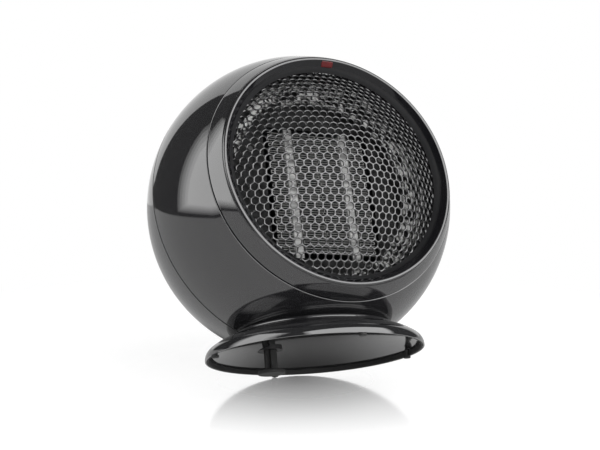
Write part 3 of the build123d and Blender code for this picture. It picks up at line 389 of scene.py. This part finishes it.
globe = globe_material()
for name in ("front_shell", "rear_shell"):
    nodes[name].data.materials[0] = globe
nodes["air_duct"].data.materials[0] = duct_material()
nodes["tip_plunger"].data.materials[0] = FINISH["rubber"]
fins = fin_material_with_painted_shade()
for name, node in nodes.items():
    if name.startswith("fins_"):
        node.data.materials[0] = fins


# Bezel: a polished band with a shadow groove and a bright rounded lip, and a dark wall inside.
# Points of its section are radius and depth
BEZEL_REAR = Vector((70.49, 47.5)) * MM
BEZEL_CROWN = Vector((67.52, 52.60)) * MM
BEZEL_EDGE = Vector((64.16, 57.4)) * MM
BEZEL_FOOT = Vector((58.15, 51.4)) * MM
BEZEL_LIP = 1.3 * MM
BEZEL_GROOVE = 0.4 * MM
BEZEL_SEAM_ROUND = 0.7 * MM
BEZEL_SEAM = ((69.5, 47.9), (70.0, 47.9), (70.24, 47.99))
BEZEL_HIDDEN = ((60.3, 51.4), (64.31, 55.12), (68.29, 49.0), (68.29, 47.9))
BEZEL_BAND_STEPS = 24
BEZEL_LIP_STEPS = 12
RING_TURNS = 240
# Groove before the lip, in groove depths: along the band, then height
GROOVE_STEPS = ((-1.7, -0.25), (-1.4, -0.9), (-0.8, -1.0), (-0.4, -0.6))
WALL_DULL = (52.0 * MM, 55.2 * MM)
WALL_ROUGHNESS = 0.8


def circle_through(first, second, third):
    """Middle of the circle through three points of a section."""
    a = second - first
    b = third - first
    turn = 2 * (a.x * b.y - a.y * b.x)
    across = (b.y * a.length_squared - a.y * b.length_squared) / turn
    along = (a.x * b.length_squared - b.x * a.length_squared) / turn
    return first + Vector((across, along))


def bezel_section():
    """Section of the bezel as radius and depth, once round, and how many points its outside takes."""
    pivot = circle_through(BEZEL_REAR, BEZEL_CROWN, BEZEL_EDGE)
    start = BEZEL_REAR - pivot
    finish = BEZEL_EDGE - pivot
    reach = start.length
    first = atan2(start.y, start.x)
    last = atan2(finish.y, finish.x)
    outward = finish.normalized()
    onward = Vector((-outward.y, outward.x))

    def near_edge(along, rise):
        """A point beside the front edge, counted along the band and off it."""
        return BEZEL_EDGE + onward * along + outward * rise

    points = [Vector(spot) * MM for spot in BEZEL_SEAM]
    begin = first + BEZEL_SEAM_ROUND / reach
    stop = last - (BEZEL_LIP + 2 * BEZEL_GROOVE) / reach
    for k in range(BEZEL_BAND_STEPS + 1):
        angle = begin + (stop - begin) * k / BEZEL_BAND_STEPS
        points.append(pivot + Vector((cos(angle), sin(angle))) * reach)
    low = -BEZEL_LIP
    for along, rise in GROOVE_STEPS:
        points.append(near_edge(low + along * BEZEL_GROOVE, rise * BEZEL_GROOVE))
    for k in range(BEZEL_LIP_STEPS + 1):
        angle = pi / 2 * k / BEZEL_LIP_STEPS
        points.append(near_edge(low + BEZEL_LIP * sin(angle), low + BEZEL_LIP * cos(angle)))
    outside = len(points)
    points.append(BEZEL_FOOT)
    points += [Vector(spot) * MM for spot in BEZEL_HIDDEN]
    return points, outside


def turned_ring(built, section, place, outside):
    """Turn a closed section round an axis; the faces after the first outside points get a second finish."""
    rings = []
    for k in range(RING_TURNS):
        angle = 2 * pi * k / RING_TURNS
        ring = []
        for radius, depth in section:
            spot = Vector((radius * cos(angle), radius * sin(angle), depth))
            ring.append(built.verts.new(place @ spot))
        rings.append(ring)
    for k in range(RING_TURNS):
        before = rings[k - 1]
        ring = rings[k]
        for step in range(len(section)):
            after = (step + 1) % len(section)
            face = built.faces.new((before[step], ring[step], ring[after], before[after]))
            face.material_index = 0 if step < outside - 1 else 1


def build_bezel():
    """Bezel turned from its section, with the outside and the rest in two finishes."""
    section, outside = bezel_section()
    built = bmesh.new()
    turned_ring(built, section, HEAD, outside)
    return finish_mesh("bezel_ring", built, sharp=35)


def wall_material():
    """Dark wall inside the bezel, polished at the lip and dull toward the grille."""
    made = surface(
        "bezel_wall", (0.003, 0.003, 0.004), (0.006, 0.006, 0.007), (0.05, 0.09), 60, 2500, 1e-6, IOR=1.5
    )
    shader = made.node_tree.nodes["Principled BSDF"]
    dull = stepped(made, depth_along_front(made), *WALL_DULL, 1.0, 0.0)
    blended(made, dull, shader.inputs["Roughness"], WALL_ROUGHNESS)
    return made


bezel = build_bezel()
bezel.data.materials.append(FINISH["bezel"])
bezel.data.materials.append(wall_material())
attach(bezel, "heater")
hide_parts("front_bezel")

# Red window of the power light, bent to the bezel's inner wall
LENS_WIDTH = 6.6 * MM
LENS_HEIGHT = 3.4 * MM
LENS_RISE = 5.1 * MM
LENS_CORNER = 0.6 * MM
# Rings of the window from its foot to its middle: share of the outline, then height in millimetres
LENS_RINGS = ((1.0, -1.2), (1.0, 0.12), (0.97, 0.24), (0.90, 0.32), (0.70, 0.38), (0.35, 0.40))


def build_lens():
    """Rounded window that stands a little proud of the wall."""
    section, outside = bezel_section()
    along = (section[outside - 1] - BEZEL_FOOT).normalized()
    facing = Vector((-along.y, along.x))
    outline = []
    for corner in range(4):
        turn = pi / 4 + pi / 2 * corner
        side = 1 if cos(turn) > 0 else -1
        level = 1 if sin(turn) > 0 else -1
        for step in range(-2, 3):
            angle = turn + pi / 8 * step
            across = side * (LENS_WIDTH / 2 - LENS_CORNER) + LENS_CORNER * cos(angle)
            rise = level * (LENS_HEIGHT / 2 - LENS_CORNER) + LENS_CORNER * sin(angle)
            outline.append((across, rise))

    def placed(across, rise, lift):
        """A point of the window, bent round the front axis with the wall."""
        spot = BEZEL_FOOT + along * (LENS_RISE + rise) + facing * lift
        turn = across / spot.x
        return HEAD @ Vector((spot.x * sin(turn), spot.x * cos(turn), spot.y))

    built = bmesh.new()
    rings = []
    for size, lift in LENS_RINGS:
        rings.append([built.verts.new(placed(x * size, y * size, lift * MM)) for x, y in outline])
    count = len(outline)
    for lower, upper in zip(rings, rings[1:]):
        for k in range(count):
            built.faces.new((lower[k - 1], lower[k], upper[k], upper[k - 1]))
    built.faces.new(rings[0])
    built.faces.new(rings[-1])
    return finish_mesh("lens_window", built, sharp=50)


lens = build_lens()
lens.data.materials.append(FINISH["red_lens"])
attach(lens, "heater")
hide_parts("indicator_lens")


# Ring under the base: a thin lip with a pad over each foot
RING_INNER = 57.1 * MM
RING_OUTER = 58.1 * MM
RING_LOW = 1.3 * MM
RING_HIGH = 3.9 * MM
RING_ROUND = 0.25 * MM
PAD_CIRCLE = 56.7 * MM
PAD_RADIUS = 1.4 * MM


def build_base_ring():
    """The lip as a turned ring and four round pads."""
    section = (
        (RING_INNER, RING_HIGH),
        (RING_INNER, RING_LOW + RING_ROUND),
        (RING_INNER + RING_ROUND, RING_LOW),
        (RING_OUTER - RING_ROUND, RING_LOW),
        (RING_OUTER, RING_LOW + RING_ROUND),
        (RING_OUTER, RING_HIGH),
    )
    built = bmesh.new()
    all_outside = len(section) + 1
    turned_ring(built, section, Matrix.Identity(4), all_outside)
    middle = (RING_LOW + RING_HIGH) / 2
    for k in range(4):
        angle = pi / 2 * k
        spot = Vector((PAD_CIRCLE * cos(angle), PAD_CIRCLE * sin(angle), middle))
        bmesh.ops.create_cone(
            built,
            cap_ends=True,
            segments=32,
            radius1=PAD_RADIUS,
            radius2=PAD_RADIUS,
            depth=RING_HIGH - RING_LOW,
            matrix=Matrix.Translation(spot),
        )
    return finish_mesh("base_lip", built, sharp=30)


lip = build_base_ring()
lip.data.materials.append(FINISH["rubber"])
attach(lip, "heater")
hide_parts("base_ring")


# Front grille: a sheet with hexagonal holes, pressed into a dome


def pressed(flat, lift):
    """Where a point of the flat sheet ends up: on the dome or, past its edge, on the flat flange.

    The outermost holes are squeezed together under the bezel.
    """
    reach = hypot(flat[0], flat[1])
    if reach > GRILLE_EVEN:
        flange_end = GRILLE_SPAN + GRILLE_FLANGE_RADIUS - GRILLE_RIM_RADIUS
        squeeze = (flange_end - GRILLE_EVEN) / (GRILLE_FLAT_RADIUS - GRILLE_EVEN)
        reach = GRILLE_EVEN + (reach - GRILLE_EVEN) * squeeze
    angle = reach / GRILLE_CURVE
    heading = atan2(flat[1], flat[0])
    if angle < GRILLE_HALF_ANGLE:
        distance = (GRILLE_CURVE + lift) * sin(angle)
        depth = GRILLE_PIVOT + (GRILLE_CURVE + lift) * cos(angle)
    else:
        distance = GRILLE_RIM_RADIUS + reach - GRILLE_SPAN
        depth = GRILLE_RIM_DEPTH + lift
    return HEAD @ Vector((distance * cos(heading), distance * sin(heading), depth))


def cell_centres(limit):
    """Middles of the holes on the flat sheet, rows along X, within a radius."""
    row_step = GRILLE_PITCH * sqrt(3) / 2
    span = int(limit / row_step) + 1
    middles = []
    for row in range(-span, span + 1):
        for column in range(-span, span + 1):
            middle = ((column + row % 2 / 2) * GRILLE_PITCH, row * row_step)
            if hypot(*middle) < limit:
                middles.append(middle)
    return middles


CORNER_STEPS = (-30, 0, 30)


def hexagon(middle, half_width, bend):
    """Hexagon with a point at the top, each corner bent to a radius."""
    outline = []
    reach = (half_width - bend) * 2 / sqrt(3)
    for corner in range(6):
        angle = radians(30 + 60 * corner)
        pivot = Vector((middle[0] + reach * cos(angle), middle[1] + reach * sin(angle)))
        if not bend:
            outline.append(pivot)
            continue
        for step in CORNER_STEPS:
            along = angle + radians(step)
            outline.append(pivot + Vector((cos(along), sin(along))) * bend)
    return outline


def build_grille():
    """The dome as one closed sheet, with rounded front edges round every hole."""
    hole = (GRILLE_PITCH - GRILLE_WEB) / 2
    per_corner = len(CORNER_STEPS)
    per_hole = 6 * per_corner
    built = bmesh.new()
    shared = {}

    def web_point(flat, lift):
        """A corner that neighbouring cells share."""
        key = (round(flat[0] / GRILLE_WEB, 2), round(flat[1] / GRILLE_WEB, 2), lift)
        if key not in shared:
            shared[key] = built.verts.new((flat[0], flat[1], lift))
        return shared[key]

    def join_corner_ring(tips, ring, facing):
        """Faces between a cell's six tips and the points of its hole."""
        for corner in range(6):
            first = per_corner * corner
            last = first + per_corner - 1
            for step in range(first, last):
                built.faces.new((tips[corner], ring[step + 1], ring[step])[::facing])
            following = ring[(last + 1) % per_hole]
            built.faces.new((tips[corner], tips[(corner + 1) % 6], following, ring[last])[::facing])

    for middle in cell_centres(GRILLE_FLAT_RADIUS - GRILLE_BORDER):
        cell = hexagon(middle, GRILLE_PITCH / 2, 0)
        rings = []
        for gap, lift in GRILLE_LIP:
            outline = hexagon(middle, hole + gap, GRILLE_ROUND + gap)
            rings.append([built.verts.new((point[0], point[1], lift)) for point in outline])
        join_corner_ring([web_point(tip, 0) for tip in cell], rings[0], 1)
        for upper, lower in zip(rings, rings[1:]):
            for step in range(per_hole):
                after = (step + 1) % per_hole
                built.faces.new((upper[step], upper[after], lower[after], lower[step]))
        join_corner_ring([web_point(tip, -GRILLE_SHEET) for tip in cell], rings[-1], -1)

    # Plain edge from the outermost webs to the rim, front and back, and the rim's own wall
    circles = []
    for lift in (0, -GRILLE_SHEET):
        border = [
            edge
            for edge in built.edges
            if edge.is_boundary and all(abs(vert.co.z - lift) < 1e-9 for vert in edge.verts)
        ]
        circle = []
        for k in range(GRILLE_RIM_STEPS):
            angle = 2 * pi * k / GRILLE_RIM_STEPS
            spot = (GRILLE_FLAT_RADIUS * cos(angle), GRILLE_FLAT_RADIUS * sin(angle), lift)
            circle.append(built.verts.new(spot))
        rim = [built.edges.new((circle[k - 1], circle[k])) for k in range(GRILLE_RIM_STEPS)]
        bmesh.ops.triangle_fill(built, use_beauty=True, edges=border + rim)
        circles.append(circle)
    for k in range(GRILLE_RIM_STEPS):
        built.faces.new((circles[0][k - 1], circles[0][k], circles[1][k], circles[1][k - 1]))
    for vert in built.verts:
        vert.co = pressed(vert.co, vert.co.z)
    return finish_mesh("grille_sheet", built, sharp=60)


grille = build_grille()
grille.data.materials.append(FINISH["grille"])
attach(grille, "heater")
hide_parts("front_grille")


# Printed marks on the dial and on the knob's raised pointer
KNOB_ANGLE = radians(40)
KNOB_REACH = 83
KNOB_NORMAL = UPWARD * cos(KNOB_ANGLE) - FORWARD * sin(KNOB_ANGLE)
KNOB_TURN = Matrix((RIGHT, KNOB_NORMAL.cross(RIGHT), KNOB_NORMAL)).transposed().to_4x4()
KNOB_SEAT = Matrix.Translation(CENTRE + KNOB_NORMAL * KNOB_REACH * MM) @ KNOB_TURN
DIAL_TOP = 1.05 * MM
POINTER_TOP = 14.3 * MM
POINTER_MIDDLE = 5.0 * MM
POINTER_LENGTH = 7.3 * MM
POINTER_WIDTH = 1.4 * MM
POINTER_REST = -22.5
SETTING_STEP = -45.0
MARK_INNER = 14.1 * MM
MARK_OUTER = 16.4 * MM
MARK_SHEET = 0.06 * MM
SETTINGS = 4
SPOT_HALF = 3.4
SPOT_REACH = 1.5 * MM
TICK_HALF = 1.6
BAND_GAP = 0.12 * SETTING_STEP
BAND_WIDTHS = ((0.25 * MM, 0.9 * MM), (1.1 * MM, 1.8 * MM))


def ring_piece(built, first, last, inner, outer, steps):
    """Flat piece of a ring on the dial; inner and outer hold the radius at its two ends."""
    rows = []
    for k in range(steps + 1):
        share = k / steps
        angle = radians(first + (last - first) * share)
        near = inner[0] + (inner[1] - inner[0]) * share
        far = outer[0] + (outer[1] - outer[0]) * share
        corners = ((near, 0), (far, 0), (far, MARK_SHEET), (near, MARK_SHEET))
        row = []
        for reach, rise in corners:
            spot = Vector((reach * cos(angle), reach * sin(angle), DIAL_TOP + rise))
            row.append(built.verts.new(KNOB_SEAT @ spot))
        rows.append(row)
    for row, after in zip(rows, rows[1:]):
        for k in range(4):
            built.faces.new((row[k - 1], row[k], after[k], after[k - 1]))
    built.faces.new(rows[0])
    built.faces.new(rows[-1][::-1])


def build_dial_marks():
    """Dot-like mark for off, ticks for the settings and a band that widens toward the hottest."""
    built = bmesh.new()
    inner = (MARK_INNER, MARK_INNER)
    for setting in range(SETTINGS):
        middle = POINTER_REST + SETTING_STEP * setting
        half = TICK_HALF if setting else SPOT_HALF
        reach = MARK_OUTER if setting else MARK_INNER + SPOT_REACH
        ring_piece(built, middle - half, middle + half, inner, (reach, reach), 4)
    for setting, (thin, thick) in enumerate(BAND_WIDTHS, start=1):
        first = POINTER_REST + SETTING_STEP * setting + BAND_GAP
        last = POINTER_REST + SETTING_STEP * (setting + 1) - BAND_GAP
        outer = (MARK_INNER + thin, MARK_INNER + thick)
        ring_piece(built, first, last, inner, outer, 16)
    return finish_mesh("dial_marks", built, sharp=30)


def build_pointer():
    """Thin coat of light paint on the raised pointer of the knob."""
    turn = radians(POINTER_REST)
    along = Vector((cos(turn), sin(turn), 0))
    beside = Vector((-sin(turn), cos(turn), 0))
    half_width = POINTER_WIDTH / 2
    half_length = POINTER_LENGTH / 2 - half_width
    middle = along * POINTER_MIDDLE
    built = bmesh.new()
    loops = []
    for rise in (POINTER_TOP, POINTER_TOP + MARK_SHEET):
        loop = []
        for side in (1, -1):
            for k in range(9):
                angle = pi * k / 8 - pi / 2
                spot = middle + along * side * (half_length + half_width * cos(angle))
                spot = spot + beside * side * half_width * sin(angle) + Vector((0, 0, rise))
                loop.append(built.verts.new(KNOB_SEAT @ spot))
        loops.append(loop)
    count = len(loops[0])
    for k in range(count):
        built.faces.new((loops[0][k - 1], loops[0][k], loops[1][k], loops[1][k - 1]))
    built.faces.new(loops[0][::-1])
    built.faces.new(loops[1])
    return finish_mesh("knob_pointer", built, sharp=30)


mark_paint = surface("mark_paint", (0.52, 0.52, 0.51), (0.62, 0.62, 0.61), (0.4, 0.5), 200, 2500, 1e-6)
for mark, body in ((build_dial_marks(), "heater"), (build_pointer(), "knob")):
    mark.data.materials.append(mark_paint)
    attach(mark, body)


# Spring of the tip-over plunger, in millimetres, built at one fixed length
SPRING_AT = (-17.0, 21.0)
SPRING_SPAN = (17.1, 25.6)
SPRING_RADIUS = 4.0
SPRING_WIRE = 0.35
SPRING_TURNS = 3


def build_spring():
    """Coil of round wire, from the plunger's collar up to the ceiling of its housing."""
    low, high = SPRING_SPAN
    per_turn = 40
    around = 10
    built = bmesh.new()
    rows = []
    for k in range(SPRING_TURNS * per_turn + 1):
        angle = 2 * pi * k / per_turn
        height = low + (high - low) * k / (SPRING_TURNS * per_turn)
        row = []
        for j in range(around):
            turn = 2 * pi * j / around
            reach = SPRING_RADIUS + SPRING_WIRE * cos(turn)
            x = SPRING_AT[0] + reach * cos(angle)
            y = SPRING_AT[1] + reach * sin(angle)
            row.append(built.verts.new(Vector((x, y, height + SPRING_WIRE * sin(turn))) * MM))
        rows.append(row)
    for row, after in zip(rows, rows[1:]):
        for j in range(around):
            built.faces.new((row[j - 1], row[j], after[j], after[j - 1]))
    built.faces.new(rows[0])
    built.faces.new(rows[-1][::-1])
    return finish_mesh("spring_coil", built, sharp=50)


spring = build_spring()
spring.data.materials.append(FINISH["steel"])
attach(spring, "heater")
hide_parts("plunger_spring")
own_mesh(spring)


# Studio: floor, backdrop, light and camera


def seen_in_mirrors(made):
    """1 for rays that have left a shiny surface or passed through glass."""
    path = add_node(made, "ShaderNodeLightPath")
    either = add_node(made, "ShaderNodeMath", operation="MAXIMUM")
    link(made, path.outputs["Is Glossy Ray"], either.inputs[0])
    link(made, path.outputs["Is Transmission Ray"], either.inputs[1])
    return either.outputs[0]


def seen_by_camera(made):
    """1 for rays that come straight from the camera."""
    return add_node(made, "ShaderNodeLightPath").outputs["Is Camera Ray"]


def mixed(made, factor, first, second):
    """Mix two shaders by an output."""
    blend = add_node(made, "ShaderNodeMixShader")
    link(made, factor, blend.inputs["Fac"])
    link(made, first, blend.inputs[1])
    link(made, second, blend.inputs[2])
    return blend.outputs[0]


def plain_shader(made, kind, **sockets):
    """A simple shader with fixed values."""
    node = add_node(made, kind)
    for socket, value in sockets.items():
        node.inputs[socket].default_value = value
    return node.outputs[0]


def stage_card(name, middle, across, along, half_width, half_length, made):
    """Flat rectangle that belongs to the studio."""
    mesh = bpy.data.meshes.new(name)
    corners = []
    for a, b in ((-1, -1), (1, -1), (1, 1), (-1, 1)):
        corners.append(middle + across * half_width * a + along * half_length * b)
    mesh.from_pydata(corners, [], [(0, 1, 2, 3)])
    mesh.materials.append(made)
    add_object(name, mesh)


def floor_material(foot, shaded):
    """White polished table: its mirror image and the shadows on it fade with the distance from the foot.

    Mirrors see it dimmer, and dark round the shaded spot.
    """
    made, shader = new_material("white_table")
    output = made.node_tree.nodes["Material Output"]
    white = add_node(made, "ShaderNodeEmission")
    matt = plain_shader(made, "ShaderNodeBsdfDiffuse", Color=MATT_WHITE)
    gloss = plain_shader(made, "ShaderNodeBsdfGlossy", Roughness=TABLE_ROUGHNESS, Color=(1, 1, 1, 1))
    clear = plain_shader(made, "ShaderNodeBsdfTransparent")
    place = add_node(made, "ShaderNodeTexCoord")
    apart = add_node(made, "ShaderNodeVectorMath", operation="DISTANCE")
    apart.inputs[1].default_value = foot
    link(made, place.outputs["Object"], apart.inputs[0])
    away = add_node(made, "ShaderNodeVectorMath", operation="DISTANCE")
    away.inputs[1].default_value = shaded
    link(made, place.outputs["Object"], away.inputs[0])
    shade = stepped(made, away.outputs["Value"], SHADE_INNER, SHADE_OUTER, SHADE_DARK, FLOOR_MIRRORED)
    dim = add_node(made, "ShaderNodeEmission")
    link(made, shade, dim.inputs["Strength"])
    fade = add_node(made, "ShaderNodeMapRange")
    fade.inputs["From Min"].default_value = 0.0
    fade.inputs["From Max"].default_value = MIRROR_REACH
    fade.inputs["To Min"].default_value = MIRROR_SHARE
    fade.inputs["To Max"].default_value = 0.0
    link(made, apart.outputs["Value"], fade.inputs["Value"])
    shadows = stepped(made, apart.outputs["Value"], SHADOW_INNER, SHADOW_OUTER, SHADOW_SHARE, 0.0)
    paper = stepped(made, apart.outputs["Value"], SHADOW_INNER, SHADOW_OUTER, FLOOR_WHITE, 1.0)
    link(made, paper, white.inputs["Strength"])
    shown = mixed(made, fade.outputs["Result"], mixed(made, shadows, white.outputs[0], matt), gloss)
    others = mixed(made, seen_in_mirrors(made), matt, dim.outputs[0])
    lit = mixed(made, seen_by_camera(made), others, shown)
    facing = add_node(made, "ShaderNodeNewGeometry")
    link(made, mixed(made, facing.outputs["Backfacing"], lit, clear), output.inputs["Surface"])
    made.node_tree.nodes.remove(shader)
    return made


def backdrop_material():
    """Paper that is white to the camera and in reflections, and matt to all other light."""
    made, shader = new_material("white_paper")
    output = made.node_tree.nodes["Material Output"]
    white = plain_shader(made, "ShaderNodeEmission", Strength=1.0)
    matt = plain_shader(made, "ShaderNodeBsdfDiffuse", Color=MATT_WHITE)
    others = mixed(made, seen_in_mirrors(made), matt, white)
    link(made, mixed(made, seen_by_camera(made), others, white), output.inputs["Surface"])
    made.node_tree.nodes.remove(shader)
    return made


def build_stage():
    """Table under the heater as it stands in the photograph, and a backdrop behind it."""
    normal = CAMERA_UP * cos(FLOOR_PITCH) + CAMERA_BACK * sin(FLOOR_PITCH)
    toward = CAMERA_RIGHT.cross(normal)
    resting = ("base_ring", "base_skirt", "rubber_feet", "tip_plunger")
    spots = [vert.co for name in resting for vert in nodes[name].data.vertices]
    foot = min(spots, key=normal.dot)
    under = CENTRE + normal * normal.dot(foot - CENTRE)
    shaded = foot + CAMERA_RIGHT * SHADE_SHIFT[0] - toward * SHADE_SHIFT[1]
    table = floor_material(foot + CAMERA_RIGHT * MIRROR_SHIFT, shaded)
    stage_card("table", under, CAMERA_RIGHT, -toward, FLOOR_REACH, FLOOR_REACH, table)
    half_width = FLOOR_REACH * tan(BACKDROP_HALF_ANGLE)
    middle = under - toward * FLOOR_REACH + normal * half_width
    stage_card("backdrop", middle, CAMERA_RIGHT, normal, half_width, half_width, backdrop_material())


def add_panel(name, azimuth, elevation, distance, width, height, radiance, soft, roll=0):
    """Light panel with soft edges that faces the heater: layers of growing size add up to its radiance.

    Angles are seen from the heater, right of the camera and up; roll turns the panel in its own plane.
    """
    turn = radians(azimuth)
    rise = radians(elevation)
    level = CAMERA_RIGHT * sin(turn) + CAMERA_BACK * cos(turn)
    toward = level * cos(rise) + CAMERA_UP * sin(rise)
    across = CAMERA_UP.cross(toward).normalized()
    upright = toward.cross(across)
    facing = Matrix((across, upright, toward)).transposed().to_4x4()
    turned = facing @ Matrix.Rotation(radians(roll), 4, "Z")
    for layer in range(PANEL_LAYERS):
        growth = 2 * layer / (PANEL_LAYERS - 1) - 1
        lamp = bpy.data.lights.new(f"{name}_{layer}", "AREA")
        lamp.shape = "RECTANGLE"
        lamp.size = width + growth * soft[0]
        lamp.size_y = height + growth * soft[1]
        lamp.energy = radiance / PANEL_LAYERS * pi * lamp.size * lamp.size_y
        panel = bpy.data.objects.new(lamp.name, lamp)
        bpy.context.scene.collection.objects.link(panel)
        spot = CENTRE + toward * (distance + PANEL_GAP * layer)
        panel.matrix_world = Matrix.Translation(spot) @ turned


def build_world():
    """White behind everything for the camera, a grey studio for the light."""
    world = bpy.data.worlds.new("studio")
    bpy.context.scene.world = world
    world.use_nodes = True
    path = add_node(world, "ShaderNodeLightPath")
    tone = add_node(world, "ShaderNodeMix", data_type="RGBA")
    tone.inputs["A"].default_value = (STUDIO_GREY, STUDIO_GREY, STUDIO_GREY, 1)
    tone.inputs["B"].default_value = (1, 1, 1, 1)
    link(world, path.outputs["Is Camera Ray"], tone.inputs["Factor"])
    link(world, tone.outputs["Result"], world.node_tree.nodes["Background"].inputs["Color"])


def build_camera():
    """Camera at the photograph's place and angle."""
    lens = bpy.data.cameras.new("camera")
    lens.sensor_width = 36
    lens.lens = CAMERA_LENS
    lens.clip_start = 0.01
    camera = bpy.data.objects.new("camera", lens)
    bpy.context.scene.collection.objects.link(camera)
    turn = Matrix((CAMERA_RIGHT, CAMERA_UP, CAMERA_BACK)).transposed().to_4x4()
    camera.matrix_world = Matrix.Translation(CAMERA_AT) @ turn
    bpy.context.scene.camera = camera


build_stage()
build_world()
build_camera()
add_panel(
    "left_softbox",
    azimuth=-69,
    elevation=22,
    distance=1.2,
    width=1.0,
    height=1.07,
    radiance=2.5,
    soft=(0.30, 0.12),
    roll=-5,
)
add_panel(
    "front_softbox",
    azimuth=42,
    elevation=25,
    distance=1.3,
    width=2.6,
    height=1.45,
    radiance=2.9,
    soft=(0.30, 0.10),
)
bpy.context.scene.view_settings.view_transform = "Standard"
